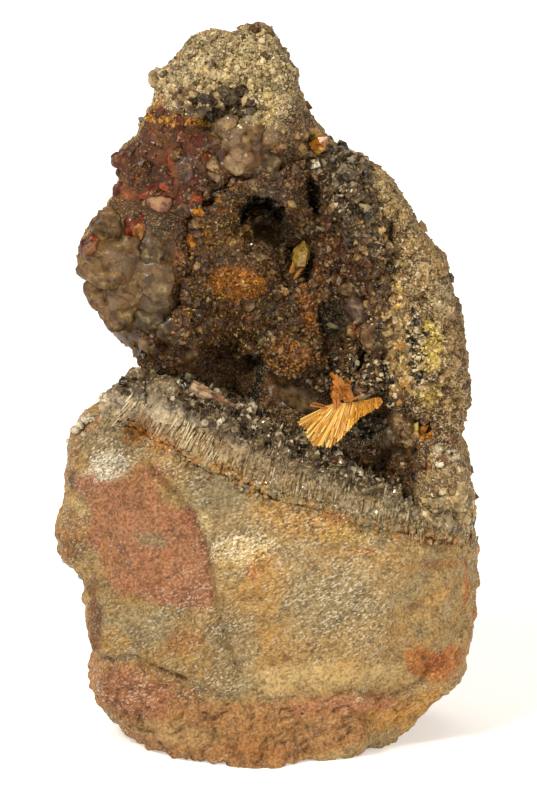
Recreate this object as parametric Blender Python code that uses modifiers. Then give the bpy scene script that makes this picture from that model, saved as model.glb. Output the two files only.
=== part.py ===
"""Walpurgite on a vein fragment of quartz and micaceous wall rock.

The specimen stands on a broken face of the wall rock. Above that lies a band of comb quartz, and above
the comb the vein rock, with an open vug, its drusy crust and the walpurgite sheaf.
X runs to the right, Y away from the front face and Z up. Numbers are millimetres, scaled by MM.
"""

import math
import random

import bmesh
import bpy
from mathutils import Matrix, Vector, noise

MM = 0.001
GAP = 0.3
HALF_DEPTH = 10.0
EDGE_POWER = 4.0
FORM_VOXEL = 0.42
LUMP_VOXEL = 0.3
CRUST_VOXEL = 0.24
CRYSTAL_VOXEL = 0.14
BLADE_VOXEL = 0.11
CUTTER_VOXEL = 0.2
CUTTER_TRIANGLES = 5000
TRIANGLES = {
    "wall_rock": 1700, "comb_slab": 800, "comb_quartz": 2300, "vein_rock": 2550,
    "crust_sheet": 900, "vug_crust": 2000, "walpurgite_sheaf": 560,
}

# Front outlines at mid depth, as (x, z), clockwise from the lower left.
LOWER_CENTRE = (0.3, 11.0)
LOWER_OUTLINE = [
    (-8.5, -0.2), (-10.5, 1.7), (-11.6, 3.0), (-11.7, 4.5), (-11.3, 5.8), (-11.7, 7.0), (-12.3, 9.2),
    (-12.3, 11.1), (-13.6, 11.9), (-13.9, 12.8), (-13.7, 15.0), (-13.3, 16.2), (-13.1, 17.6), (-13.3, 19.5),
    (-12.4, 20.8), (-11.3, 21.8), (-10.3, 22.8), (-8.6, 23.9), (-6.0, 26.4), (0.0, 25.4), (7.0, 22.0),
    (13.2, 18.2), (13.6, 14.8), (13.7, 12.2), (13.9, 10.6), (13.7, 9.2), (13.8, 7.8), (13.2, 5.8),
    (12.8, 4.4), (12.1, 2.9), (10.2, 1.4), (8.4, 0.0), (6.2, -2.4), (3.4, -5.0), (0.0, -6.0), (-3.4, -5.0),
    (-6.6, -2.4),
]
UPPER_CENTRE = (0.4, 32.0)
UPPER_OUTLINE = [
    (-8.4, 23.6), (-8.9, 25.4), (-9.3, 26.4), (-10.4, 27.2), (-11.2, 29.1), (-12.1, 30.8), (-12.7, 32.4),
    (-12.1, 33.6), (-10.7, 34.7), (-10.5, 35.8), (-9.2, 37.2), (-10.2, 38.3), (-9.5, 39.0), (-8.6, 39.7),
    (-8.7, 40.8), (-7.7, 41.7), (-7.3, 42.4), (-7.7, 43.1), (-7.3, 44.2), (-6.1, 45.4), (-5.1, 46.4),
    (-4.0, 47.1), (-3.0, 47.4), (-2.2, 46.8), (-1.5, 47.6), (-0.1, 47.7), (0.8, 46.5), (1.8, 45.2),
    (2.0, 43.8), (1.6, 42.6), (2.6, 41.5), (3.4, 40.6), (4.0, 39.6), (5.1, 39.0), (6.9, 38.0), (8.5, 36.6),
    (9.6, 34.6), (10.6, 33.1), (11.7, 31.8), (12.4, 29.4), (12.8, 27.4), (13.1, 25.0), (13.2, 22.8),
    (13.0, 21.2), (12.7, 19.8), (13.1, 17.8), (13.7, 16.4), (13.7, 14.2), (8.0, 13.5), (0.0, 16.0),
    (-6.0, 19.5),
]

# How far the faces stand from mid depth, at named places, as (x, z, depth).
LOWER_FRONT = {
    "right face": (5.0, 11.0, 8.8), "right face top": (5.0, 15.5, 8.3), "right edge": (12.0, 10.0, 7.0),
    "face over the crease": (-1.0, 13.5, 8.7), "crease foot": (-2.4, 8.0, 8.4),
    "left face": (-8.0, 14.5, 7.5), "left edge": (-12.0, 14.0, 5.8), "left face foot": (-8.5, 9.0, 7.3),
    "ledge left": (-9.0, 4.8, 8.2), "ledge front": (-4.0, 2.4, 9.8), "foot": (-1.0, 0.0, 10.8),
    "ledge right": (4.0, 2.4, 9.0), "ledge far right": (9.5, 3.6, 7.0), "face foot": (5.0, 6.4, 9.3),
    "comb left": (-9.0, 23.5, 6.6), "comb middle": (-1.0, 20.8, 7.7), "comb right": (8.0, 17.2, 7.8),
}
LOWER_BACK = {
    "crown": (0.0, 20.0, 8.4), "left": (-9.0, 16.0, 6.8), "right": (9.0, 15.0, 8.8),
    "middle": (0.0, 10.0, 9.6), "foot left": (-7.0, 3.0, 8.0), "foot right": (7.0, 3.0, 8.8),
    "foot": (0.0, 0.0, 9.4), "left corner": (-12.2, 20.2, 3.4), "left shoulder": (-9.4, 23.0, 5.4),
}
UPPER_FRONT = {
    "cap crown": (-2.8, 46.6, 2.4), "cap left": (-5.4, 44.8, 3.8), "cap middle": (-1.8, 45.2, 4.4),
    "cap right": (1.1, 44.3, 3.8), "cap lip left": (-5.2, 42.9, 4.9), "cap lip right": (0.6, 42.9, 5.3),
    "pocket under cap": (-2.9, 42.4, 2.2), "quartz under cap": (-2.0, 40.6, 5.0),
    "rusty band": (-6.8, 41.9, 3.6), "red lumps": (-6.0, 39.0, 4.6), "red wall": (-5.6, 36.4, 5.0),
    "left point": (-9.4, 38.3, 1.6), "grey lobe top": (-9.4, 34.0, 3.8), "grey lobe": (-9.2, 31.2, 4.4),
    "grey lobe foot": (-8.4, 28.4, 3.6), "left inner wall": (-5.4, 31.8, 2.2),
    "brown wall": (-3.8, 34.6, 1.2), "orange ledge": (-2.2, 31.0, 0.8), "under the ledge": (-2.4, 28.4, -1.4),
    "upper hole": (-0.3, 34.8, -4.2), "over the hole": (-0.6, 38.0, 4.0), "red ridge": (1.7, 36.6, 3.0),
    "slot": (3.0, 36.2, -1.4), "smoky wall": (5.2, 36.8, 3.0), "smoky wall foot": (6.4, 33.8, 2.6),
    "right shoulder": (7.8, 36.6, 4.6), "right wall": (10.4, 30.8, 5.4), "right wall foot": (11.2, 24.8, 6.0),
    "right foot": (11.9, 18.8, 7.0), "right rim": (8.6, 28.2, 5.0), "right rim foot": (9.4, 23.8, 5.4),
    "back right": (4.6, 30.6, -0.2), "pit right": (4.5, 25.8, -2.2), "back middle": (0.8, 28.4, -1.6),
    "slot middle": (2.4, 30.6, -3.2), "back foot": (1.4, 25.0, -1.6), "dark recess": (-2.6, 24.4, -4.2),
    "left foot": (-6.8, 26.4, 2.2), "under the rim": (7.2, 21.4, 0.4),
    "dark corner": (9.0, 22.3, 3.4), "vug foot": (3.0, 20.5, -1.4), "vug foot left": (-6.0, 22.0, -0.6),
}
UPPER_BACK = {
    "crown": (-1.5, 46.0, 2.6), "shoulder left": (-4.6, 42.0, 5.0), "shoulder right": (1.6, 40.0, 6.2),
    "left": (-8.6, 33.0, 5.4), "middle": (0.0, 33.0, 8.6), "right": (8.4, 32.0, 7.4),
    "foot right": (10.0, 23.0, 7.8), "foot": (0.0, 23.0, 9.0), "foot left": (-6.0, 27.0, 7.2),
}

# How rough the broken faces are: the size of their facets, how far they stand, and how calm the front is.
FACET_SIZE = 4.2
FRONT_CALM = 0.5
LOWER_ROUGHNESS = {"amount": 0.75, "seed": 2}
UPPER_ROUGHNESS = {"amount": 0.7, "seed": 5}

# Rounded quartz on the vein's front, as (x, z, half width, half height, share of it standing proud).
GREY_LUMPS = [
    (-11.5, 33.2, 0.9, 1.0, 0.5), (-10.2, 34.5, 0.9, 0.9, 0.5), (-9.9, 32.3, 1.5, 1.35, 0.5),
    (-7.4, 31.4, 1.4, 1.4, 0.45), (-9.4, 29.9, 1.15, 0.95, 0.5), (-9.8, 28.6, 0.95, 0.8, 0.5),
    (-7.2, 29.5, 1.2, 0.8, 0.4), (-8.5, 34.9, 0.8, 1.0, 0.4), (-7.7, 27.3, 0.8, 0.7, 0.5),
    (-6.3, 28.0, 1.1, 0.9, 0.4), (-7.6, 33.4, 0.9, 0.8, 0.4), (-11.0, 30.6, 0.7, 1.0, 0.4),
]
RED_LUMPS = [
    (-6.9, 36.3, 1.05, 0.7, 0.5), (-9.3, 37.2, 0.8, 0.9, 0.4), (-6.0, 37.8, 1.0, 0.8, 0.45),
    (-4.7, 39.2, 0.9, 0.8, 0.4), (-7.7, 39.1, 1.0, 0.9, 0.4), (-6.7, 40.6, 0.9, 0.7, 0.4),
    (-4.9, 36.2, 0.9, 0.6, 0.4), (-5.2, 40.6, 0.8, 0.7, 0.4),
]
PALE_LUMPS = [
    (-3.6, 40.0, 1.0, 0.9, 0.5), (-2.1, 40.8, 1.0, 0.9, 0.5), (-3.0, 38.7, 0.9, 0.8, 0.45),
    (-1.1, 41.7, 0.9, 0.8, 0.5), (-1.5, 39.3, 1.0, 1.0, 0.5), (0.2, 40.6, 0.9, 0.8, 0.4),
    (-6.9, 43.3, 0.5, 0.5, 0.5), (1.7, 24.8, 1.6, 1.4, 0.6), (8.9, 21.6, 1.1, 1.0, 0.5),
    (9.6, 20.5, 0.9, 0.8, 0.5),
]
POCKET_CRYSTALS = {
    "places": [  # (x, z, radius)
        (-4.9, 42.3, 0.55), (-4.0, 42.6, 0.6), (-3.1, 42.2, 0.65), (-2.2, 42.7, 0.55), (-1.3, 43.0, 0.5),
        (-3.6, 41.7, 0.45), (-2.6, 43.2, 0.4),
    ],
    "bury": 0.6, "length": 2.2, "tip": 0.7, "seed": 3,
}

# The contact of wall rock and comb quartz, and the comb's thickness, along X.
CONTACT = [
    (-14.0, 20.6), (-12.5, 21.2), (-9.6, 21.9), (-7.0, 20.8), (-3.4, 19.2), (2.1, 17.2), (8.6, 15.2),
    (14.0, 13.6),
]
COMB_THICKNESS = [
    (-13.0, 0.9), (-11.2, 2.0), (-9.4, 3.4), (-7.0, 3.6), (-1.0, 3.0), (6.0, 2.1), (11.0, 1.5), (14.0, 1.2),
]
# How high the tips of the comb's left end come at mid depth, along X, and how much lower than that for each
# millimetre further back, so that seen from the front they follow the specimen's outline.
COMB_CROWN = [(-11.2, 22.4), (-10.6, 23.0), (-9.3, 24.2), (-7.8, 25.1), (-6.0, 26.4)]
CROWN_FALL = 0.21
CONTACT_DIP = 0.04
CONTACT_WAVES = {"amount": 0.15, "pitch": 0.5, "seed": 3.0}
COMB_WAVES = {"amount": 0.25, "pitch": 0.7, "seed": 9.0}
FAR_BELOW = -20.0
FAR_ABOVE = 45.0
PLAN_REACH = (16.0, 13.0)

COMB = {
    "pitch": 1.45, "first": (-9.9, -6.6), "last": (10.6, 0.6), "radius": (0.62, 0.95), "root": 1.5,
    "rise": (0.3, 1.1), "tip": 0.62, "aim": (0.15, 0.0, 1.0), "sway": 0.2, "seed": 11,
}

CRUST = {
    "pitch": 0.5, "thickness": 0.55, "bumps": 0.35, "crystals": 46, "radius": (0.3, 0.55),
    "length": (0.8, 1.3), "bury": 0.3, "room": 2.0, "seed": 4,
}
CRUST_OUTLINE = [
    (-3.4, 36.6), (-2.1, 37.6), (0.1, 38.3), (2.1, 38.8), (4.4, 38.9), (6.4, 37.6), (7.4, 35.4), (7.9, 33.0),
    (8.0, 30.2), (7.4, 27.0), (7.4, 24.2), (7.0, 22.4), (4.8, 22.4), (0.0, 23.9), (-4.0, 25.4), (-6.2, 27.0),
    (-6.2, 28.8), (-5.4, 30.8), (-5.4, 33.5), (-4.5, 35.5),
]
SMOKY_PLACES = [
    (4.4, 38.3), (5.3, 37.6), (4.6, 36.9), (5.9, 36.6), (5.0, 35.8), (6.3, 35.4), (5.6, 34.7), (6.9, 34.2),
    (6.1, 33.7), (7.2, 33.0), (6.6, 32.4),
]
SMOKY_RADIUS = (0.55, 0.85)
SMOKY_LENGTH = (1.3, 1.8)

SHEAF = {
    "core": (4.9, -5.1, 23.6), "core_radius": 0.62, "thickness": 0.42, "seed": 8,
    "fan": {"angles": (203.0, 262.0), "blades": 9, "length": 3.5, "root": 0.26, "edge": 0.52, "tilt": -0.25},
    "wing": {"angles": (-4.0, -34.0), "blades": 4, "length": 2.35, "root": 0.3, "edge": 0.5, "tilt": -0.1},
    "laths": {"angles": (80.0, 128.0), "blades": 4, "length": 1.6, "root": 0.34, "edge": 0.36, "tilt": 0.15},
}

YELLOW_BEVEL = 0.16
YELLOW_CRYSTALS = {
    "yellow_crystal_vug": {"at": (2.2, 32.4), "proud": 1.1, "size": (1.1, 0.6, 1.7), "turn": 18.0},
    "yellow_crystal_rim": {"at": (3.4, 39.9), "proud": 0.3, "size": (1.2, 0.9, 1.2), "turn": 35.0},
    "yellow_crystal_foot": {"at": (10.0, 21.5), "proud": 0.3, "size": (1.0, 0.8, 0.9), "turn": 12.0},
}
SPLINTER = {"at": (-5.0, -5.9, 23.9), "radius": 0.42, "length": 2.6, "tip": 0.9, "aim": (0.9, -0.1, -0.42)}

FINISHES = {
    "wall_rock": ((0.42, 0.30, 0.17), 0.85),
    "comb_quartz": ((0.50, 0.46, 0.38), 0.35),
    "vein_rock": ((0.30, 0.22, 0.13), 0.8),
    "vug_crust": ((0.20, 0.11, 0.04), 0.6),
    "walpurgite": ((0.80, 0.42, 0.05), 0.3),
    "pale_quartz": ((0.62, 0.48, 0.40), 0.3),
}


def clear_scene():
    for obj in list(bpy.data.objects):
        bpy.data.objects.remove(obj)


def material(name):
    colour, roughness = FINISHES[name]
    made = bpy.data.materials.new(name)
    made.use_nodes = True
    shader = made.node_tree.nodes["Principled BSDF"]
    shader.inputs["Base Color"].default_value = (*colour, 1.0)
    shader.inputs["Roughness"].default_value = roughness
    shader.inputs["Metallic"].default_value = 0.0
    return made


def object_of(bm, name):
    """A new object from a bmesh drawn in millimetres, which is freed."""
    mesh = bpy.data.meshes.new(name)
    bm.transform(Matrix.Scale(MM, 4))
    bm.to_mesh(mesh)
    bm.free()
    obj = bpy.data.objects.new(name, mesh)
    bpy.context.scene.collection.objects.link(obj)
    return obj


def bake_modifiers(obj):
    """The object's mesh becomes what its modifiers make of it."""
    bpy.context.view_layer.update()
    graph = bpy.context.evaluated_depsgraph_get()
    baked = bpy.data.meshes.new_from_object(obj.evaluated_get(graph))
    obj.modifiers.clear()
    obj.data = baked
    return obj


def remesh(obj, voxel):
    modifier = obj.modifiers.new("Remesh", "REMESH")
    modifier.mode = "VOXEL"
    modifier.voxel_size = voxel * MM
    return bake_modifiers(obj)


def is_closed(mesh):
    bm = bmesh.new()
    bm.from_mesh(mesh)
    closed = all(edge.is_manifold for edge in bm.edges) and all(vert.is_manifold for vert in bm.verts)
    bm.free()
    return closed


def decimate(obj, triangles):
    """Thins the mesh to about that many triangles, with a few tries for one that stays closed."""
    full = obj.data
    faces = sum(len(polygon.vertices) - 2 for polygon in full.polygons)
    for share in (1.0, 0.98, 1.02, 0.96, 1.04, 0.94, 1.06):
        obj.data = full
        modifier = obj.modifiers.new("Decimate", "DECIMATE")
        modifier.ratio = min(1.0, share * triangles / faces)
        bake_modifiers(obj)
        if is_closed(obj.data):
            break
    return obj


def boolean(obj, other, operation):
    modifier = obj.modifiers.new(operation.title(), "BOOLEAN")
    modifier.operation = operation
    modifier.object = other
    modifier.use_self = operation == "UNION"
    return bake_modifiers(obj)


def grown(obj, by):
    """A copy of the object, swollen along its normals and remeshed, that cuts its neighbours clear."""
    cutter = obj.copy()
    cutter.data = obj.data.copy()
    bpy.context.scene.collection.objects.link(cutter)
    modifier = cutter.modifiers.new("Displace", "DISPLACE")
    modifier.strength = by * MM
    modifier.mid_level = 0.0
    bake_modifiers(cutter)
    return decimate(remesh(cutter, CUTTER_VOXEL), min(CUTTER_TRIANGLES, 4 * len(obj.data.polygons)))


def keep_largest(obj):
    """Only the largest body stays: a cut may leave crumbs beside it."""
    bm = bmesh.new()
    bm.from_mesh(obj.data)
    left = set(bm.faces)
    bodies = []
    while left:
        body, reach = set(), [next(iter(left))]
        while reach:
            face = reach.pop()
            if face not in body:
                body.add(face)
                reach.extend(other for edge in face.edges for other in edge.link_faces)
        bodies.append(body)
        left -= body
    largest = max(bodies, key=len)
    crumbs = [face for face in bm.faces if face not in largest]
    bmesh.ops.delete(bm, geom=crumbs, context="FACES")
    bm.to_mesh(obj.data)
    bm.free()
    return obj


def clear_of(obj, *neighbours, by=GAP):
    """Cuts the object back until it stands that far from its neighbours."""
    for neighbour in neighbours:
        cutter = grown(neighbour, by)
        boolean(obj, cutter, "DIFFERENCE")
        bpy.data.objects.remove(cutter)
    return keep_largest(obj)


def along(points, x):
    """The height of a line through (x, height) points, eased between them."""
    if x <= points[0][0]:
        return points[0][1]
    for (x0, z0), (x1, z1) in zip(points, points[1:]):
        if x <= x1:
            share = (x - x0) / (x1 - x0)
            share = share * share * (3.0 - 2.0 * share)
            return z0 + (z1 - z0) * share
    return points[-1][1]


def depth_at(places, x, z, reach=0.7):
    """The depth at (x, z), blended from the named places by their nearness."""
    total, weight = 0.0, 0.0
    for px, pz, depth in places.values():
        near = 1.0 / ((px - x) ** 2 + (pz - z) ** 2 + reach) ** 2
        total += near * depth
        weight += near
    return total / weight


def outline_radius(outline, centre):
    """The outline's distance from its centre, as a function of the angle about it."""
    offsets = [Vector((x - centre[0], z - centre[1])) for x, z in outline]
    corners = sorted((math.atan2(offset.y, offset.x), offset.length) for offset in offsets)
    first, last = corners[0], corners[-1]
    corners = [(last[0] - math.tau, last[1]), *corners, (first[0] + math.tau, first[1])]

    def radius(angle):
        for (a0, r0), (a1, r1) in zip(corners, corners[1:]):
            if a0 <= angle <= a1:
                return r0 + (r1 - r0) * (angle - a0) / max(a1 - a0, 1e-9)
        return corners[-1][1]

    return radius


def edge_thickness(radius, centre, x, z):
    """The share of its full depth that a slab has at (x, z), falling to none at its outline."""
    dx, dz = x - centre[0], z - centre[1]
    spread = min(1.0, math.hypot(dx, dz) / radius(math.atan2(dz, dx)))
    return (1.0 - spread**EDGE_POWER) ** (1.0 / EDGE_POWER)


def rounded_slab(name, outline, centre):
    """A slab of HALF_DEPTH either way with that front outline and rounded edges, evenly meshed."""
    radius = outline_radius(outline, centre)
    bm = bmesh.new()
    bmesh.ops.create_icosphere(bm, subdivisions=6, radius=1.0)
    for vert in bm.verts:
        spread = min(1.0, math.hypot(vert.co.x, vert.co.z))
        angle = math.atan2(vert.co.z, vert.co.x)
        reach = radius(angle) * spread
        thick = (1.0 - spread**EDGE_POWER) ** (1.0 / EDGE_POWER)
        side = math.copysign(HALF_DEPTH, vert.co.y) * thick
        vert.co = (centre[0] + reach * math.cos(angle), side, centre[1] + reach * math.sin(angle))
    return remesh(object_of(bm, name), FORM_VOXEL)


def roughen(point, size, amount, seed):
    """A broken-rock offset at a point: large facets from cells, with finer noise on them."""
    shift = Vector((seed * 7.3, seed * 3.1, seed * 5.7))
    cells = noise.voronoi(point / size + shift)[0]
    facet = (cells[1] - cells[0]) - 0.35
    fine = noise.fractal(point / size * 2.2 + shift, 0.9, 2.1, 3)
    return amount * (0.8 * facet + 0.55 * fine)


def sculpt(obj, front, back, roughness):
    """Moves the slab's two sides to their depths, then roughens the whole surface."""
    mesh = obj.data
    for vert in mesh.vertices:
        x, y, z = vert.co / MM
        depth = depth_at(front, x, z) if y < 0 else depth_at(back, x, z)
        vert.co = Vector((x, y / HALF_DEPTH * depth, z)) * MM
    mesh.update()
    normals = [vert.normal.copy() for vert in mesh.vertices]
    for vert, normal in zip(mesh.vertices, normals):
        amount = roughness["amount"] * (1.0 if normal.y > 0.3 else FRONT_CALM)
        vert.co += normal * (roughen(vert.co / MM, FACET_SIZE, amount, roughness["seed"]) * MM)
    return obj


def waves(spec, x, y):
    pitch = spec["pitch"]
    return spec["amount"] * noise.noise(Vector((x * pitch, y * pitch, spec["seed"])))


def contact_height(x, y):
    return along(CONTACT, x) + CONTACT_DIP * y + waves(CONTACT_WAVES, x, y)


def comb_height(x, y):
    return contact_height(x, y) + along(COMB_THICKNESS, x) + waves(COMB_WAVES, x, y)


def far_below(x, y):
    return FAR_BELOW


def far_above(x, y):
    return FAR_ABOVE


def ground(x, y):
    return 0.0


def layer(name, low, high):
    """A closed block over the whole plan between two height functions, used as a cutter."""
    bm = bmesh.new()
    bmesh.ops.create_grid(bm, x_segments=26, y_segments=18, size=1.0)
    for vert in bm.verts:
        vert.co = (vert.co.x * PLAN_REACH[0], vert.co.y * PLAN_REACH[1], 0.0)
    lifted = bmesh.ops.extrude_face_region(bm, geom=list(bm.faces), use_keep_orig=True)
    top = {item for item in lifted["geom"] if isinstance(item, bmesh.types.BMVert)}
    for vert in bm.verts:
        height = high if vert in top else low
        vert.co.z = height(vert.co.x, vert.co.y)
    bmesh.ops.recalc_face_normals(bm, faces=bm.faces)
    return object_of(bm, name)


def cut_away(obj, low, high):
    """Removes what lies between two height functions."""
    cutter = layer("cutter", low, high)
    boolean(obj, cutter, "DIFFERENCE")
    bpy.data.objects.remove(cutter)
    return keep_largest(obj)


def pointed_crystal(foot, direction, radius, length, tip, turn):
    """One closed crystal as its own bmesh: a hexagonal prism whose upper cap is drawn up to a point."""
    bm = bmesh.new()
    shaft = length - tip
    bmesh.ops.create_cone(bm, cap_ends=True, segments=6, radius1=radius * 0.94, radius2=radius, depth=shaft)
    bmesh.ops.translate(bm, verts=bm.verts, vec=(0.0, 0.0, shaft / 2))
    cap = max(bm.faces, key=lambda face: face.calc_center_median().z)
    point = bmesh.ops.poke(bm, faces=[cap])["verts"][0]
    point.co.z = length
    aim = Vector(direction).normalized().to_track_quat("Z", "Y").to_matrix().to_4x4()
    bm.transform(Matrix.Translation(foot) @ aim @ Matrix.Rotation(turn, 4, "Z"))
    return bm


def add_to(target, source):
    """Copies one bmesh into another, and frees it."""
    spare = bpy.data.meshes.new("spare")
    source.to_mesh(spare)
    source.free()
    target.from_mesh(spare)
    bpy.data.meshes.remove(spare)


def join(obj, bm, name):
    """Adds a bmesh's bodies to an object's mesh without joining them up."""
    other = object_of(bm, name)
    both = bmesh.new()
    both.from_mesh(obj.data)
    both.from_mesh(other.data)
    both.to_mesh(obj.data)
    both.free()
    bpy.data.objects.remove(other)
    return obj


def lower_form(name):
    form = rounded_slab(name, LOWER_OUTLINE, LOWER_CENTRE)
    return remesh(sculpt(form, LOWER_FRONT, LOWER_BACK, LOWER_ROUGHNESS), FORM_VOXEL)


def wall_rock():
    rock = decimate(lower_form("wall_rock"), TRIANGLES["wall_rock"])
    cut_away(rock, contact_height, far_above)
    return cut_away(rock, far_below, ground)


def upper_front_y(x, z):
    """Where the vein rock's front face stands at (x, z)."""
    radius = outline_radius(UPPER_OUTLINE, UPPER_CENTRE)
    return -depth_at(UPPER_FRONT, x, z) * edge_thickness(radius, UPPER_CENTRE, x, z)


def comb_crystals():
    """The exposed crystal ends of the comb, in rows from its front edge to the foot of the vug."""
    rng = random.Random(COMB["seed"])
    bm = bmesh.new()
    (x0, y0), (x1, y1), pitch = COMB["first"], COMB["last"], COMB["pitch"]
    rows = int((y1 - y0) / (pitch * 0.87)) + 1
    columns = int((x1 - x0) / pitch) + 1
    for row in range(rows):
        for column in range(columns):
            x = x0 + (column + 0.5 * (row % 2)) * pitch + rng.uniform(-0.25, 0.25)
            y = y0 + row * pitch * 0.87 + rng.uniform(-0.15, 0.15)
            radius = rng.uniform(*COMB["radius"])
            rise = rng.uniform(*COMB["rise"])
            turn = rng.uniform(0.0, 1.0)
            sway = Vector((rng.uniform(-1, 1), rng.uniform(-1, 1), 0.0)) * COMB["sway"]
            aim = Vector(COMB["aim"]) + sway
            top = min(comb_height(x, y), along(COMB_CROWN, x) - CROWN_FALL * y - rise)
            if y + radius + 2 * GAP > upper_front_y(x, top + rise):
                continue
            foot = Vector((x, y, top - COMB["root"]))
            length = COMB["root"] + rise
            add_to(bm, pointed_crystal(foot, aim, radius, length, COMB["tip"], turn))
    return object_of(bm, "comb_crystals")


def comb_quartz():
    comb = lower_form("comb_quartz")
    cut_away(comb, far_below, lambda x, y: contact_height(x, y) + GAP)
    cut_away(comb, comb_height, far_above)
    decimate(remesh(comb, LUMP_VOXEL), TRIANGLES["comb_slab"])
    crystals = comb_crystals()
    boolean(comb, crystals, "UNION")
    bpy.data.objects.remove(crystals)
    return keep_largest(comb)


def add_lumps(obj, lumps, flatness=0.85):
    """Sets ellipsoids into the vein's front, each standing proud of it by its share."""
    bm = bmesh.new()
    for x, z, wide, high, proud in lumps:
        deep = flatness * min(wide, high)
        y = upper_front_y(x, z) + deep * (1.0 - 2.0 * proud)
        place = Matrix.Translation((x, y, z)) @ Matrix.Diagonal((wide, deep, high, 1.0))
        bmesh.ops.create_icosphere(bm, subdivisions=3, radius=1.0, matrix=place)
    return join(obj, bm, "lumps")


def add_pocket_crystals(obj):
    spec = POCKET_CRYSTALS
    rng = random.Random(spec["seed"])
    bm = bmesh.new()
    for x, z, radius in spec["places"]:
        foot = Vector((x, upper_front_y(x, z) + spec["bury"], z))
        aim = Vector((rng.uniform(-0.4, 0.4), -1.0, rng.uniform(-0.1, 0.5)))
        add_to(bm, pointed_crystal(foot, aim, radius, spec["length"], spec["tip"], rng.uniform(0.0, 1.0)))
    return join(obj, bm, "pocket_crystals")


def vein_rock():
    rock = rounded_slab("vein_rock", UPPER_OUTLINE, UPPER_CENTRE)
    sculpt(rock, UPPER_FRONT, UPPER_BACK, UPPER_ROUGHNESS)
    remesh(rock, FORM_VOXEL)
    for lumps in (GREY_LUMPS, RED_LUMPS, PALE_LUMPS):
        add_lumps(rock, lumps)
    add_pocket_crystals(rock)
    decimate(remesh(rock, LUMP_VOXEL), TRIANGLES["vein_rock"])
    return cut_away(rock, far_below, lambda x, y: comb_height(x, y) + GAP)


def inside(outline, x, z):
    """Whether a point lies inside a closed outline."""
    within = False
    for (x0, z0), (x1, z1) in zip(outline, outline[1:] + outline[:1]):
        if (z0 > z) != (z1 > z) and x < x0 + (x1 - x0) * (z - z0) / (z1 - z0):
            within = not within
    return within


def crust_sheet(backing):
    """A sheet laid on the hollow's wall from the front, and given its thickness towards the front."""
    xs, zs = zip(*CRUST_OUTLINE)
    half_x, half_z = (max(xs) - min(xs)) / 2, (max(zs) - min(zs)) / 2
    centre = ((max(xs) + min(xs)) / 2, (max(zs) + min(zs)) / 2)
    bm = bmesh.new()
    across, upward = (round(2 * half / CRUST["pitch"]) for half in (half_x, half_z))
    bmesh.ops.create_grid(bm, x_segments=across, y_segments=upward, size=1.0)
    for vert in bm.verts:
        vert.co = (centre[0] + vert.co.x * half_x, -12.0, centre[1] + vert.co.y * half_z)
    middles = {face: face.calc_center_median() for face in bm.faces}
    outer = [face for face, middle in middles.items() if not inside(CRUST_OUTLINE, middle.x, middle.z)]
    bmesh.ops.delete(bm, geom=outer, context="FACES")
    sheet = object_of(bm, "vug_crust")
    wrap = sheet.modifiers.new("Shrinkwrap", "SHRINKWRAP")
    wrap.target = backing
    wrap.wrap_method = "PROJECT"
    wrap.use_project_y = True
    wrap.use_positive_direction = True
    wrap.use_negative_direction = False
    bake_modifiers(sheet)
    bm = bmesh.new()
    bm.from_mesh(sheet.data)
    lifted = bmesh.ops.extrude_face_region(bm, geom=list(bm.faces), use_keep_orig=True)
    for vert in (item for item in lifted["geom"] if isinstance(item, bmesh.types.BMVert)):
        bump = 0.5 + 0.5 * noise.noise(vert.co / MM * 0.9)
        vert.co.y -= (CRUST["thickness"] + CRUST["bumps"] * bump) * MM
    bmesh.ops.recalc_face_normals(bm, faces=bm.faces)
    bm.to_mesh(sheet.data)
    bm.free()
    return sheet


def add_crust_crystals(sheet, others):
    """Crystals on the crust's front: small druse all over, and larger smoky quartz at the right.

    None stands on the comb or within CRUST["room"] of the other crystals' middles.
    """
    rng = random.Random(CRUST["seed"])
    bm = bmesh.new()
    sheet.data.update()
    fronts = [polygon for polygon in sheet.data.polygons if polygon.normal.y < -0.25]
    seats = [(polygon.center / MM, polygon.normal.copy()) for polygon in fronts]
    middles = [sum((Vector(corner) for corner in other.bound_box), Vector()) / 8 / MM for other in others]
    seats = [seat for seat in seats if all((seat[0] - middle).length > CRUST["room"] for middle in middles)]
    seats = [seat for seat in seats if seat[0].z > comb_height(seat[0].x, seat[0].y) + CRUST["room"]]
    small = rng.sample(seats, CRUST["crystals"])
    large = [min(seats, key=lambda seat: math.hypot(seat[0].x - x, seat[0].z - z)) for x, z in SMOKY_PLACES]
    kinds = ((small, CRUST["radius"], CRUST["length"]), (large, SMOKY_RADIUS, SMOKY_LENGTH))
    for seats_here, radii, reach in kinds:
        for centre, normal in seats_here:
            radius, length = rng.uniform(*radii), rng.uniform(*reach)
            aim = normal + Vector((rng.uniform(-0.5, 0.5), rng.uniform(-0.6, -0.1), rng.uniform(-0.5, 0.5)))
            foot = centre - aim.normalized() * CRUST["bury"]
            add_to(bm, pointed_crystal(foot, aim, radius, length, radius, rng.uniform(0.0, 1.0)))
    return join(sheet, bm, "crust_crystals")


def vug_crust(vein, *neighbours):
    """The crust: a sheet kept clear of its neighbours, the comb first, with the crystals grown on it."""
    backing = grown(vein, 1.5 * GAP)
    crust = crust_sheet(backing)
    remesh(crust, CRUST_VOXEL)
    boolean(crust, backing, "DIFFERENCE")
    bpy.data.objects.remove(backing)
    clear_of(crust, *neighbours)
    decimate(remesh(crust, CRUST_VOXEL), TRIANGLES["crust_sheet"])
    add_crust_crystals(crust, neighbours[1:])
    return keep_largest(decimate(remesh(crust, CRYSTAL_VOXEL), TRIANGLES["vug_crust"]))


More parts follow.
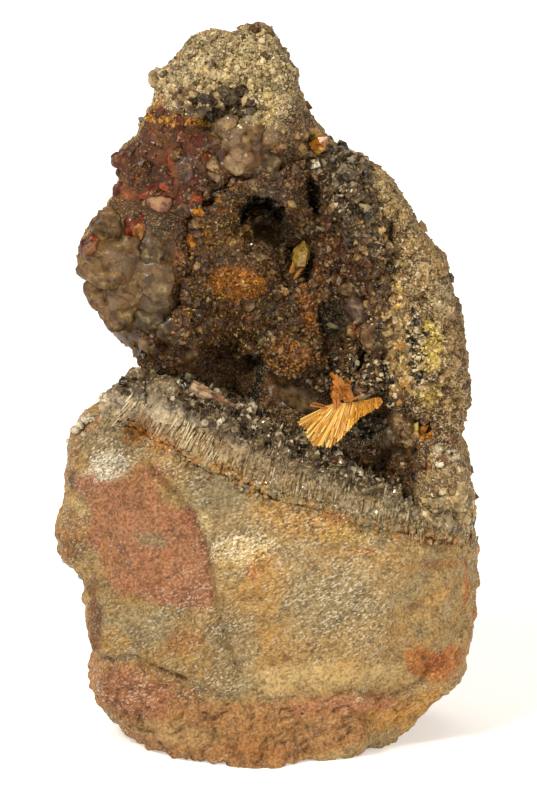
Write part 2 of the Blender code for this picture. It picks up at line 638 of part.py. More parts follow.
def blade(root, angle, length, narrow, wide, thickness, tilt):
    """One flat blade in the XZ plane, from its root out at an angle, wider at its end."""
    bm = bmesh.new()
    bmesh.ops.create_cube(bm, size=1.0)
    for vert in bm.verts:
        out = vert.co.x + 0.5
        width = narrow + (wide - narrow) * out
        vert.co = (out * length, vert.co.y * thickness + out * length * tilt, vert.co.z * width)
    bm.transform(Matrix.Translation(root) @ Matrix.Rotation(-math.radians(angle), 4, "Y"))
    return bm


def walpurgite_sheaf():
    """A bow-tie of blades about one core: a wide fan, a wing and a few upright laths."""
    rng = random.Random(SHEAF["seed"])
    core = Vector(SHEAF["core"])
    bm = bmesh.new()
    bmesh.ops.create_icosphere(
        bm, subdivisions=2, radius=SHEAF["core_radius"], matrix=Matrix.Translation(core),
    )
    for name in ("fan", "wing", "laths"):
        group = SHEAF[name]
        first, last = group["angles"]
        for step in range(group["blades"]):
            share = step / (group["blades"] - 1)
            angle = first + (last - first) * share
            length = group["length"] * rng.uniform(0.9, 1.0)
            root = core + Vector((0.0, rng.uniform(-0.12, 0.12), 0.0))
            tilt = group["tilt"] + rng.uniform(-0.03, 0.03)
            piece = blade(root, angle, length, group["root"], group["edge"], SHEAF["thickness"], tilt)
            add_to(bm, piece)
    sheaf = remesh(object_of(bm, "walpurgite_sheaf"), BLADE_VOXEL)
    return decimate(keep_largest(sheaf), TRIANGLES["walpurgite_sheaf"])


def yellow_crystal(name):
    """A small tabular crystal with bevelled edges."""
    spec = YELLOW_CRYSTALS[name]
    bm = bmesh.new()
    bmesh.ops.create_cube(bm, size=1.0)
    bmesh.ops.scale(bm, vec=spec["size"], verts=bm.verts)
    bmesh.ops.bevel(
        bm, geom=bm.edges, offset=YELLOW_BEVEL, affect="EDGES", segments=1, profile=0.5, material=-1,
    )
    x, z = spec["at"]
    seat = Vector((x, upper_front_y(x, z) - spec["proud"], z))
    bm.transform(Matrix.Translation(seat) @ Matrix.Rotation(math.radians(spec["turn"]), 4, "Y"))
    return object_of(bm, name)


def splinter_crystal():
    """A loose-grown quartz splinter lying on the comb's edge."""
    piece = pointed_crystal(
        Vector(SPLINTER["at"]), SPLINTER["aim"], SPLINTER["radius"], SPLINTER["length"], SPLINTER["tip"], 0.3,
    )
    return object_of(piece, "splinter_quartz")


def stand_at_origin(pieces):
    """Moves the whole specimen so that the origin lies below its middle, on the surface it stands on."""
    corners = [Vector(corner) for piece in pieces for corner in piece.bound_box]
    low = Vector(min(corner[axis] for corner in corners) for axis in range(3))
    high = Vector(max(corner[axis] for corner in corners) for axis in range(3))
    shift = Vector((-(low.x + high.x) / 2, -(low.y + high.y) / 2, -low.z))
    for piece in pieces:
        piece.data.transform(Matrix.Translation(shift))


def main():
    clear_scene()
    specimen = bpy.data.collections.new("walpurgite_specimen")
    bpy.context.scene.collection.children.link(specimen)
    wall = wall_rock()
    comb = comb_quartz()
    sheaf = walpurgite_sheaf()
    splinter = splinter_crystal()
    crystals = [yellow_crystal(name) for name in YELLOW_CRYSTALS]
    vein = vein_rock()
    clear_of(vein, sheaf, *crystals)
    clear_of(comb, sheaf, splinter)
    decimate(remesh(comb, CRYSTAL_VOXEL), TRIANGLES["comb_quartz"])
    crust = vug_crust(vein, comb, sheaf, *crystals)
    dressed = {
        "wall_rock": [wall], "comb_quartz": [comb], "vein_rock": [vein], "vug_crust": [crust],
        "walpurgite": [sheaf, *crystals], "pale_quartz": [splinter],
    }
    for name, pieces in dressed.items():
        finish = material(name)
        for piece in pieces:
            piece.data.materials.clear()
            piece.data.materials.append(finish)
            bpy.context.scene.collection.objects.unlink(piece)
            specimen.objects.link(piece)
    stand_at_origin(list(specimen.objects))


main()
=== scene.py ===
import math

import bmesh
import bpy
import numpy as np
from mathutils import Matrix, Vector, noise
from mathutils.bvhtree import BVHTree


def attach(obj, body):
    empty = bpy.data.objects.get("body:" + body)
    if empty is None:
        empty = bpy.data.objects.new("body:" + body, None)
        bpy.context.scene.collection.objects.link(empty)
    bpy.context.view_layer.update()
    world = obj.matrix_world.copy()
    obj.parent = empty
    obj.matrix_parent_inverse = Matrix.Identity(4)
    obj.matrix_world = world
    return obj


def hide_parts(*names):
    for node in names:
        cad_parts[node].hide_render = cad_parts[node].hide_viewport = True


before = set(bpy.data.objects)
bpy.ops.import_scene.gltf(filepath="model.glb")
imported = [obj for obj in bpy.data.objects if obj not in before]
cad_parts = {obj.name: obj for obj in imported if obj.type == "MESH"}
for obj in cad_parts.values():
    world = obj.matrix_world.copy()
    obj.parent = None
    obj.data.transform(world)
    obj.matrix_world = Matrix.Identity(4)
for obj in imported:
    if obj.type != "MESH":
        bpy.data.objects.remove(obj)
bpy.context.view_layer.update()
mm = 0.001  # the numbers below are millimetres, and mm makes them metres
print("frame: loaded", len(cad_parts), "nodes")


# Camera. Places on the front of the specimen are given as pixels of its picture.

camera = {"aim": (0.0, -5.0, 23.45), "elevation": 12.0, "distance": 450.0, "lens": 311.5, "sensor": 36.0,
          "width": 537, "height": 800}
elevation = math.radians(camera["elevation"])
viewBack = Vector((0.0, -math.cos(elevation), math.sin(elevation)))  # from the aim to the camera
viewUp = Vector((0.0, math.sin(elevation), math.cos(elevation)))
cameraPlace = Vector(camera["aim"]) + viewBack * camera["distance"]
pixelsPerTangent = camera["lens"] / camera["sensor"] * camera["height"]
pixelSize = camera["distance"] / pixelsPerTangent  # at the aim's depth

lens = bpy.data.cameras.new("camera")
lens.lens = camera["lens"]
lens.sensor_width = camera["sensor"]
lens.clip_start = 0.01
lens.clip_end = 20.0
cameraObject = bpy.data.objects.new("camera", lens)
cameraObject.location = cameraPlace * mm
cameraObject.rotation_euler = (math.radians(90.0 - camera["elevation"]), 0.0, 0.0)
bpy.context.scene.collection.objects.link(cameraObject)
bpy.context.scene.camera = cameraObject


def onPicture(points):
    # where each point, in millimetres, stands in the picture
    offset = points - np.array(cameraPlace)
    depth = -(offset @ np.array(viewBack))
    across = camera["width"] / 2 + offset[:, 0] / depth * pixelsPerTangent
    down = camera["height"] / 2 - (offset @ np.array(viewUp)) / depth * pixelsPerTangent
    return np.stack([across, down], axis=1)


def lineOfSight(x, y):
    # the direction from the camera through a pixel
    across = (x - camera["width"] / 2) / pixelsPerTangent
    up = (camera["height"] / 2 - y) / pixelsPerTangent
    return (viewUp * up + Vector((across, 0.0, 0.0)) - viewBack).normalized()


# Colours, as they look on a screen under plain light

palette = {
    "olive": (172, 138, 84), "tan": (166, 134, 82), "cream": (216, 190, 132), "brown": (104, 70, 36),
    "umber": (76, 46, 24), "shadow": (44, 30, 16), "pink": (172, 106, 74), "rust": (168, 104, 42),
    "orange": (202, 124, 32), "red": (124, 44, 12), "oxblood": (98, 44, 20), "grey": (136, 108, 72),
    "smoke": (86, 66, 40), "white": (232, 218, 186), "yellow": (190, 152, 60), "sulphur": (214, 190, 78),
    "pinkQuartz": (194, 162, 130), "gold": (230, 168, 56), "straw": (246, 214, 126), "amber": (206, 124, 32),
    "ochre": (184, 112, 14), "violet": (98, 70, 56), "ledge": (166, 112, 60), "milk": (188, 160, 112),
    "khaki": (146, 130, 94), "sand": (196, 166, 108), "honey": (186, 136, 60), "frost": (244, 234, 208),
    "black": (12, 9, 6), "slate": (104, 90, 68), "lichen": (112, 82, 44), "ember": (146, 56, 14),
    "pearl": (228, 206, 162), "moss": (52, 43, 26), "stone": (186, 166, 122), "haze": (140, 122, 92),
    "clay": (136, 88, 54), "blush": (152, 106, 74),
}


def linear(name):
    # the linear values that a shader takes
    shares = np.array(palette[name]) / 255.0
    return np.where(shares <= 0.04045, shares / 12.92, ((shares + 0.055) / 1.055) ** 2.4)


# Meshes

def objectOf(name, bm):
    mesh = bpy.data.meshes.new(name)
    bm.to_mesh(mesh)
    bm.free()
    made = bpy.data.objects.new(name, mesh)
    bpy.context.scene.collection.objects.link(made)
    return made


def bake(piece):  # the mesh becomes what the modifiers make of it
    bpy.context.view_layer.update()
    graph = bpy.context.evaluated_depsgraph_get()
    piece.data = bpy.data.meshes.new_from_object(piece.evaluated_get(graph))
    piece.modifiers.clear()
    return piece


def fineCopy(node, name, voxel, relax):
    # a node's solid as a fine, even skin that relief can be worked into
    bm = bmesh.new()
    bm.from_mesh(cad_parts[node].data)
    bmesh.ops.remove_doubles(bm, verts=bm.verts, dist=0.0005 * mm)
    piece = objectOf(name, bm)
    remesh = piece.modifiers.new("remesh", "REMESH")
    remesh.mode = "VOXEL"
    remesh.voxel_size = voxel * mm
    soften = piece.modifiers.new("soften", "SMOOTH")
    soften.factor = 0.5
    soften.iterations = relax
    return bake(piece)


def readValues(items, key, width=1):
    # a value, or a row of values, for each vertex or face
    flat = np.empty(len(items) * width, dtype=np.float32)
    items.foreach_get(key, flat)
    return flat.reshape(-1, width) if width > 1 else flat


def pointsOf(piece):
    return readValues(piece.data.vertices, "co", 3).astype(float) / mm


def normalsOf(piece):
    return readValues(piece.data.vertices, "normal", 3).astype(float)


def valuesOf(piece, name):
    return readValues(piece.data.attributes[name].data, "value").astype(float)


def movePoints(piece, points):
    piece.data.vertices.foreach_set("co", (points * mm).astype(np.float32).ravel())
    piece.data.update()


def setValue(piece, name, values):
    layer = piece.data.attributes.new(name, "FLOAT", "POINT")
    layer.data.foreach_set("value", np.asarray(values, dtype=np.float32))


def setColour(piece, colours, glints=1.0):  # the fourth value is the share of glints
    layer = piece.data.attributes.new("tone", "FLOAT_COLOR", "POINT")
    full = np.ones((len(colours), 4), dtype=np.float32)
    full[:, :3] = np.clip(colours, 0.0, 1.0)
    full[:, 3] = glints
    layer.data.foreach_set("color", full.ravel())


def smoothFaces(piece):
    piece.data.polygons.foreach_set("use_smooth", [True] * len(piece.data.polygons))
    piece.data.update()


def skinOf(piece):  # for casting rays, in millimetres
    polygons = [tuple(polygon.vertices) for polygon in piece.data.polygons]
    return BVHTree.FromPolygons([tuple(p) for p in pointsOf(piece)], polygons)


def fit(piece, node, finish):
    piece.data.materials.clear()
    piece.data.materials.append(finish)
    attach(piece, "root")
    if node:
        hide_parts(node)
    triangles = sum(len(polygon.vertices) - 2 for polygon in piece.data.polygons)
    print(piece.name + ":", triangles, "triangles")


# Patterns

def grainAt(points, size, seed, octaves=2):
    # noise about zero, with features of that many millimetres
    shift = Vector((seed * 3.7, seed * 1.9, seed * 5.3))
    return np.array([noise.fractal(Vector(p) / size + shift, 0.9, 2.0, octaves) for p in points])


def cobblesAt(points, size, seed):
    # cells: 0 in a crease to 1 on a crown, a rounded dome, and a number of each cell's own
    shift = Vector((seed * 2.3, seed * 4.1, seed * 1.7))
    crowns, domes, owns = np.empty((3, len(points)))
    for index, p in enumerate(points):
        distances, centres = noise.voronoi(Vector(p) / size + shift)
        crowns[index] = distances[1] - distances[0]
        domes[index] = 1.0 - (distances[0] / 0.8) ** 2
        owns[index] = noise.cell(centres[0] * 7.7)
    return np.clip(crowns * 1.4, 0.0, 1.0), np.clip(domes, 0.0, 1.0), owns


def ease(low, high, values):
    share = np.clip((values - low) / (high - low), 0.0, 1.0)
    return share * share * (3.0 - 2.0 * share)


def patchAt(pixels, ragged, patch):
    # 1 inside an ellipse of the picture, 0 outside, with a soft and ragged edge
    x, y, wide, high, turn = patch[:5]
    angle = math.radians(turn)
    dx = pixels[:, 0] - x
    dy = pixels[:, 1] - y
    along = (dx * math.cos(angle) + dy * math.sin(angle)) / wide
    over = (dy * math.cos(angle) - dx * math.sin(angle)) / high
    return 1.0 - ease(0.7, 1.3, np.hypot(along, over) + 0.35 * ragged)


def zoneAt(pixels, ragged, patches):
    mask = np.zeros(len(pixels))
    for patch in patches:
        mask = np.maximum(mask, patchAt(pixels, ragged, patch))
    return mask


def insideAt(pixels, outline):
    # true inside a closed outline of the picture
    inside = np.zeros(len(pixels), dtype=bool)
    for (x0, y0), (x1, y1) in zip(outline, outline[1:] + outline[:1]):
        if y0 != y1:
            crosses = (y0 > pixels[:, 1]) != (y1 > pixels[:, 1])
            inside ^= crosses & (pixels[:, 0] < x0 + (x1 - x0) * (pixels[:, 1] - y0) / (y1 - y0))
    return inside


def fieldAt(pixels, ragged, outline, soft):
    # 1 inside a closed outline, 0 outside, with a ragged edge that is soft over so many pixels
    distance = lineAt(pixels, outline + outline[:1])[0]
    signed = np.where(insideAt(pixels, outline), distance, -distance)
    return ease(-soft, soft, signed + ragged * soft * 1.5)


def lineAt(pixels, route):
    # the distance in pixels from a line through the route's points, and the side: above 0 on its right
    nearest = np.full(len(pixels), 1e9)
    side = np.ones(len(pixels))
    for start, end in zip(route, route[1:]):
        step = np.array(end, dtype=float) - np.array(start, dtype=float)
        offset = pixels - np.array(start)
        share = np.clip(offset @ step / (step @ step), 0.0, 1.0)
        away = offset - share[:, None] * step
        distance = np.hypot(away[:, 0], away[:, 1])
        closer = distance < nearest
        nearest = np.where(closer, distance, nearest)
        side = np.where(closer, np.sign(step[0] * offset[:, 1] - step[1] * offset[:, 0]), side)
    return nearest, side


def paint(tone, mask, name):
    return tone + (linear(name) - tone) * np.clip(mask, 0.0, 1.0)[:, None]


def paintLayers(tone, layers):
    # each layer is a mask and a colour's name
    for mask, name in layers:
        tone = paint(tone, mask, name)
    return tone


def paintPatches(tone, pixels, ragged, front, patches):
    # named patches: x, y, half width, half height and turn in the picture, then colour and strength
    return paintLayers(tone, [
        (patchAt(pixels, ragged, patch) * front * patch[6], patch[5]) for patch in patches.values()
    ])


def paintFields(tone, pixels, ragged, front, fields):
    # named fields: an outline in the picture, then the edge's softness, colour and strength
    return paintLayers(tone, [
        (fieldAt(pixels, ragged, outline, soft) * front * strength, name)
        for outline, soft, name, strength in fields.values()
    ])


# Shader helpers

def feed(tree, made, inputs):
    # links or sets the inputs of a shader node
    for key, value in inputs.items():
        if isinstance(value, bpy.types.NodeSocket):
            tree.links.new(value, made.inputs[key])
        else:
            made.inputs[key].default_value = value


def place(tree, kind, inputs=None, **settings):
    made = tree.nodes.new("ShaderNode" + kind)
    for key, value in settings.items():
        setattr(made, key, value)
    feed(tree, made, inputs or {})
    return made


def useGroup(tree, group, inputs):
    return place(tree, "Group", inputs, node_tree=group).outputs


def mixColour(tree, factor, first, second, blend="MIX"):
    made = place(tree, "Mix", {0: factor, 6: first, 7: second}, data_type="RGBA", blend_type=blend)
    return made.outputs[2]


def mixNumber(tree, factor, first, second):
    return place(tree, "Mix", {0: factor, 2: first, 3: second}, data_type="FLOAT").outputs[0]


def sums(tree, operation, first, second=0.0, third=0.0):
    return place(tree, "Math", {0: first, 1: second, 2: third}, operation=operation).outputs[0]


def vectorSums(tree, operation, first, inputs):
    return place(tree, "VectorMath", {0: first, **inputs}, operation=operation).outputs[0]


def stretch(tree, value, low, high, newLow=0.0, newHigh=1.0):
    values = {"Value": value, "From Min": low, "From Max": high, "To Min": newLow, "To Max": newHigh}
    return place(tree, "MapRange", values, interpolation_type="SMOOTHSTEP").outputs[0]


def screenColour(name, strength=1.0):
    return tuple(linear(name) * strength) + (1.0,)


def groupOf(name, takes, gives):
    tree = bpy.data.node_groups.new(name, "ShaderNodeTree")
    kinds = {"number": "NodeSocketFloat", "colour": "NodeSocketColor", "vector": "NodeSocketVector"}
    for label, kind in takes.items():
        tree.interface.new_socket(name=label, in_out="INPUT", socket_type=kinds[kind])
    for label, kind in gives.items():
        tree.interface.new_socket(name=label, in_out="OUTPUT", socket_type=kinds[kind])
    enter = tree.nodes.new("NodeGroupInput")
    leave = tree.nodes.new("NodeGroupOutput")
    return tree, enter.outputs, leave.inputs


def mottleGroup():
    # fine light and dark grains over a colour
    tree, takes, gives = groupOf(
        "stoneMottle", {"Vector": "vector", "Color": "colour", "Scale": "number", "Amount": "number"},
        {"Color": "colour"},
    )
    broadScale = sums(tree, "MULTIPLY", takes["Scale"], 0.23)
    fine, broad = [
        place(tree, "TexNoise", {"Vector": takes["Vector"], "Scale": scale, "Detail": 3.0}).outputs["Fac"]
        for scale in (takes["Scale"], broadScale)
    ]
    dark, light, shade = [
        sums(tree, "MULTIPLY", stretch(tree, grain, low, high), takes["Amount"])
        for grain, low, high in ((fine, 0.52, 0.36), (fine, 0.53, 0.68), (broad, 0.5, 0.34))
    ]
    darker = mixColour(tree, dark, takes["Color"], screenColour("shadow"), "MULTIPLY")
    shaded = mixColour(tree, sums(tree, "MULTIPLY", shade, 0.6), darker, screenColour("smoke"), "MULTIPLY")
    lighter = mixColour(tree, sums(tree, "MULTIPLY", light, 0.5), shaded, screenColour("cream"))
    tree.links.new(lighter, gives["Color"])
    return tree


def glintGroup():
    # small flat grains: a share of them tipped their own way and painted toward a light colour as painted
    # glints, as many dark
    tree, takes, gives = groupOf(
        "grainGlint",
        {"Vector": "vector", "Color": "colour", "Scale": "number", "Cover": "number", "Shine": "number",
         "Depth": "number", "Tip": "number", "Light": "colour"},
        {"Color": "colour", "Mask": "number", "Normal": "vector"},
    )
    cells = place(tree, "TexVoronoi", {"Vector": takes["Vector"], "Scale": takes["Scale"]}).outputs["Color"]
    chance = place(tree, "SeparateColor", {"Color": cells}).outputs["Red"]
    bright = sums(tree, "LESS_THAN", chance, takes["Cover"])
    dark = sums(tree, "GREATER_THAN", chance, sums(tree, "SUBTRACT", 1.0, takes["Cover"]))
    darkened = mixColour(tree, sums(tree, "MULTIPLY", dark, takes["Depth"]), takes["Color"],
                         screenColour("umber"), "MULTIPLY")
    coloured = mixColour(tree, sums(tree, "MULTIPLY", bright, takes["Shine"]), darkened, takes["Light"])
    centred = vectorSums(tree, "SUBTRACT", cells, {1: (0.5, 0.5, 0.5)})
    tipped = vectorSums(tree, "SCALE", centred, {"Scale": sums(tree, "MULTIPLY", bright, takes["Tip"])})
    normal = tree.nodes.new("ShaderNodeNewGeometry").outputs["Normal"]
    unit = vectorSums(tree, "NORMALIZE", vectorSums(tree, "ADD", normal, {1: tipped}), {})
    for label, output in (("Color", coloured), ("Mask", bright), ("Normal", unit)):
        tree.links.new(output, gives[label])
    return tree


stoneMottle = mottleGroup()
grainGlint = glintGroup()


def newFinish(name, **constants):
    # a material with its Principled shader, and the object's coordinates in millimetres
    finish = bpy.data.materials.new(name)
    finish.use_nodes = True
    tree = finish.node_tree
    shader = tree.nodes["Principled BSDF"]
    for key, value in constants.items():
        shader.inputs[key.replace("_", " ")].default_value = value
    spots = tree.nodes.new("ShaderNodeTexCoord").outputs["Object"]
    scaled = place(tree, "Mapping", {"Vector": spots, "Scale": (1 / mm, 1 / mm, 1 / mm)})
    return finish, tree, shader, scaled.outputs["Vector"]


def attribute(tree, name, output="Fac"):
    return place(tree, "Attribute", attribute_name=name).outputs[output]


def mottle(tree, spots, scale, amount):
    # the piece's own tone, with stone grains
    tone = attribute(tree, "tone", "Color")
    inputs = {"Vector": spots, "Color": tone, "Scale": scale, "Amount": amount}
    return useGroup(tree, stoneMottle, inputs)["Color"]


def bumpOf(tree, shader, height, distance, strength, **others):
    bump = place(tree, "Bump", {"Height": height, "Distance": distance * mm, "Strength": strength, **others})
    tree.links.new(bump.outputs["Normal"], shader.inputs["Normal"])


# Wall rock: the brown micaceous block that the specimen stands on

wallRock = {
    "voxel": 0.19, "relax": 3, "lean": 27.0,  # the mica lies in sheets that rise to the right, in degrees
    "hackly": 0.40, "sheets": 0.20, "lumps": 0.12, "cleft": 0.28,  # heights of the relief
    "creaseDepth": 0.35, "creaseStep": 0.3, "crackDepth": 0.7, "sunk": 0.06, "closing": 0.35,
    "crease": [(150, 466), (172, 490), (193, 514), (203, 544), (211, 575), (217, 605), (226, 640),
               (240, 674)],
    "crack": [
        (94, 652), (112, 660), (136, 656), (158, 668), (182, 676), (203, 692), (238, 697), (262, 704),
        (300, 697),
        (326, 702), (352, 692), (384, 698), (404, 690), (424, 684), (430, 670), (421, 655),
    ],
    "flakeGlints": [  # places and how thick the flakes lie, which sets their painted glints
        (109, 465, 26, 18, -12, 1.0), (240, 549, 38, 18, -10, 1.0), (203, 524, 11, 11, 0, 0.8),
        (168, 478, 20, 24, 30, 0.6), (312, 523, 44, 18, 12, 0.6), (335, 600, 66, 48, -15, 0.5),
        (270, 560, 60, 50, 0, 0.4), (110, 436, 28, 14, -20, 0.5),
    ],
    "dull": [(140, 530, 60, 60, 20), (285, 732, 160, 36, 0), (438, 661, 30, 25, 0), (95, 615, 14, 40, 0),
             (435, 600, 36, 60, 0), (330, 680, 90, 14, -2), (218, 488, 18, 14, 0)],
    "fields": {
        "pink face": ([
            (75, 473), (88, 473), (101, 480), (116, 483), (130, 476), (134, 467), (146, 461), (158, 466),
            (163, 475),
            (157, 487), (161, 499), (174, 506), (188, 513), (196, 526), (201, 541), (206, 557), (212, 578),
            (216, 600), (206, 614), (188, 606), (160, 604), (137, 600), (118, 594), (108, 584), (107, 572),
            (101, 560), (94, 549), (87, 540), (90, 526), (93, 514), (85, 502), (77, 487),
        ], 4.0, "pink", 0.75),
        "band": ([
            (90, 660), (112, 664), (136, 660), (158, 672), (182, 680), (203, 696), (238, 701), (300, 701),
            (352, 696), (404, 694), (420, 700), (400, 722), (340, 750), (260, 775), (160, 760), (90, 700),
        ], 4.0, "ledge", 0.75),
        "pale foot": ([
            (252, 672), (300, 664), (350, 668), (400, 664), (418, 680), (400, 688), (352, 688), (300, 692),
            (262, 694),
        ], 5.0, "sand", 0.7),
        "red corner": ([
            (406, 656), (420, 645), (440, 650), (452, 642), (466, 652), (458, 676), (440, 684), (424, 680),
            (410, 672),
        ], 3.0, "rust", 1.0),
        "lower corner": ([(362, 716), (390, 700), (424, 692), (450, 680), (456, 700), (420, 724), (370, 734)],
                         4.0, "honey", 0.7),
    },
    "patches": {
        "khaki left": (112, 434, 34, 18, -24, "khaki", 0.7),
        # white mica flakes, painted whiter as painted sheen
        "white flakes": (109, 467, 21, 14, -12, "frost", 0.55),
        "grey under the comb": (222, 490, 30, 16, 26, "khaki", 0.8),
        "grey flank": (215, 500, 20, 34, -20, "khaki", 0.6),
        # pale mica flakes, painted paler as painted sheen
        "pale flakes": (240, 549, 34, 15, -10, "cream", 0.7),
        "pale spot": (204, 522, 9, 9, 0, "cream", 0.7),
        "honey top": (306, 522, 46, 15, 16, "honey", 0.5),
        "honey mid": (262, 612, 30, 40, 10, "honey", 0.4),
        "grey middle": (330, 600, 60, 34, -18, "khaki", 0.6),
        "grey left": (236, 650, 20, 34, 20, "khaki", 0.6),
        "gap in the pink": (155, 540, 16, 8, 10, "khaki", 0.7),
        "pink bright": (186, 518, 9, 8, 0, "pink", 0.9),
        "brown in the pink": (133, 502, 24, 9, 50, "brown", 0.25),
        "pink top": (140, 480, 26, 12, 0, "ledge", 0.5),
        "pink left": (112, 560, 12, 24, -20, "ledge", 0.5),
        "olive grey": (138, 630, 36, 20, 6, "khaki", 0.7),
        "honey left": (116, 640, 20, 12, 0, "honey", 0.5),
        "rust tongue": (184, 642, 24, 10, -20, "rust", 0.5),
        "left ledge": (72, 530, 16, 26, 0, "ledge", 0.7),
        "dark ledge": (74, 548, 14, 10, 20, "brown", 0.6),
        "pale lip": (79, 507, 12, 6, 40, "sand", 0.8),
        "left lip": (72, 446, 6, 12, 0, "rust", 0.7),
        "violet lip": (74, 480, 5, 14, 0, "violet", 0.6),
        "low dot": (60, 556, 6, 6, 0, "rust", 0.8),
        "groove": (97, 617, 6, 38, -6, "oxblood", 0.7),
        "groove's edge": (88, 628, 4, 34, -4, "rust", 0.6),
        "left rust": (135, 434, 13, 11, 24, "orange", 0.75),
        "rust along": (160, 443, 26, 10, 28, "orange", 0.7),
        "middle rust": (194, 458, 22, 7, 28, "rust", 0.8),
        "right rust": (220, 468, 17, 6, 32, "orange", 0.65),
        "red fleck": (332, 519, 14, 3, 10, "rust", 0.8),
        "low fleck": (364, 551, 12, 4, -8, "rust", 0.7),
        "right fleck": (403, 537, 10, 4, 10, "rust", 0.7),
        "yellow fleck": (381, 523, 14, 7, 40, "sulphur", 0.8),
        "yellow wash": (350, 537, 26, 9, 0, "yellow", 0.5),
        "right line": (470, 588, 3, 30, -2, "rust", 0.9),
        "rust right": (440, 566, 30, 4, -6, "rust", 0.4),
        "orange fleck": (254, 572, 7, 9, 0, "rust", 0.8),
        "orange wash": (262, 560, 12, 7, 0, "honey", 0.7),
        "red core": (438, 663, 10, 8, -30, "red", 0.6),
        "band left": (128, 692, 40, 22, 20, "pink", 0.6),
        "pink band": (342, 706, 56, 8, 0, "pink", 0.5),
        "pale band": (180, 735, 40, 12, 10, "sand", 0.4),
        "orange foot": (250, 752, 40, 10, 0, "rust", 0.4),
    },
}


def wallFinish():
    finish, tree, shader, spots = newFinish("micaRock", IOR=1.5, Specular_IOR_Level=0.35)
    flakeGlints = attribute(tree, "flakeGlints")
    turn = (0.0, math.radians(-wallRock["lean"]), 0.0)
    lay = place(tree, "Mapping", {"Vector": spots, "Rotation": turn, "Scale": (1.7, 1.1, 0.85)},
                vector_type="TEXTURE").outputs["Vector"]
    streaks = place(tree, "TexNoise", {"Vector": lay, "Scale": 4.0, "Detail": 3.0, "Roughness": 0.65})
    mottled = mottle(tree, spots, 5.5, 0.4)
    dark = stretch(tree, streaks.outputs["Fac"], 0.5, 0.36, 0.0, 0.35)
    # bright grains painted frost: painted glints on the mica
    grains = useGroup(tree, grainGlint, {
        "Vector": lay, "Color": mixColour(tree, dark, mottled, screenColour("brown"), "MULTIPLY"),
        "Scale": 10.0, "Tip": 0.9, "Light": screenColour("frost"),
        "Cover": sums(tree, "MULTIPLY_ADD", flakeGlints, 0.14, 0.1),
        "Shine": sums(tree, "MULTIPLY_ADD", flakeGlints, 0.5, 0.05),
        "Depth": sums(tree, "MULTIPLY_ADD", flakeGlints, 0.4, 0.18),
    })
    tree.links.new(grains["Color"], shader.inputs["Base Color"])
    tree.links.new(mixNumber(tree, grains["Mask"], 0.75, 0.3), shader.inputs["Roughness"])
    grit = place(tree, "TexNoise", {"Vector": spots, "Scale": 7.0, "Detail": 3.0}).outputs["Fac"]
    bumpOf(tree, shader, grit, 0.06, 0.8, Normal=grains["Normal"])
    return finish


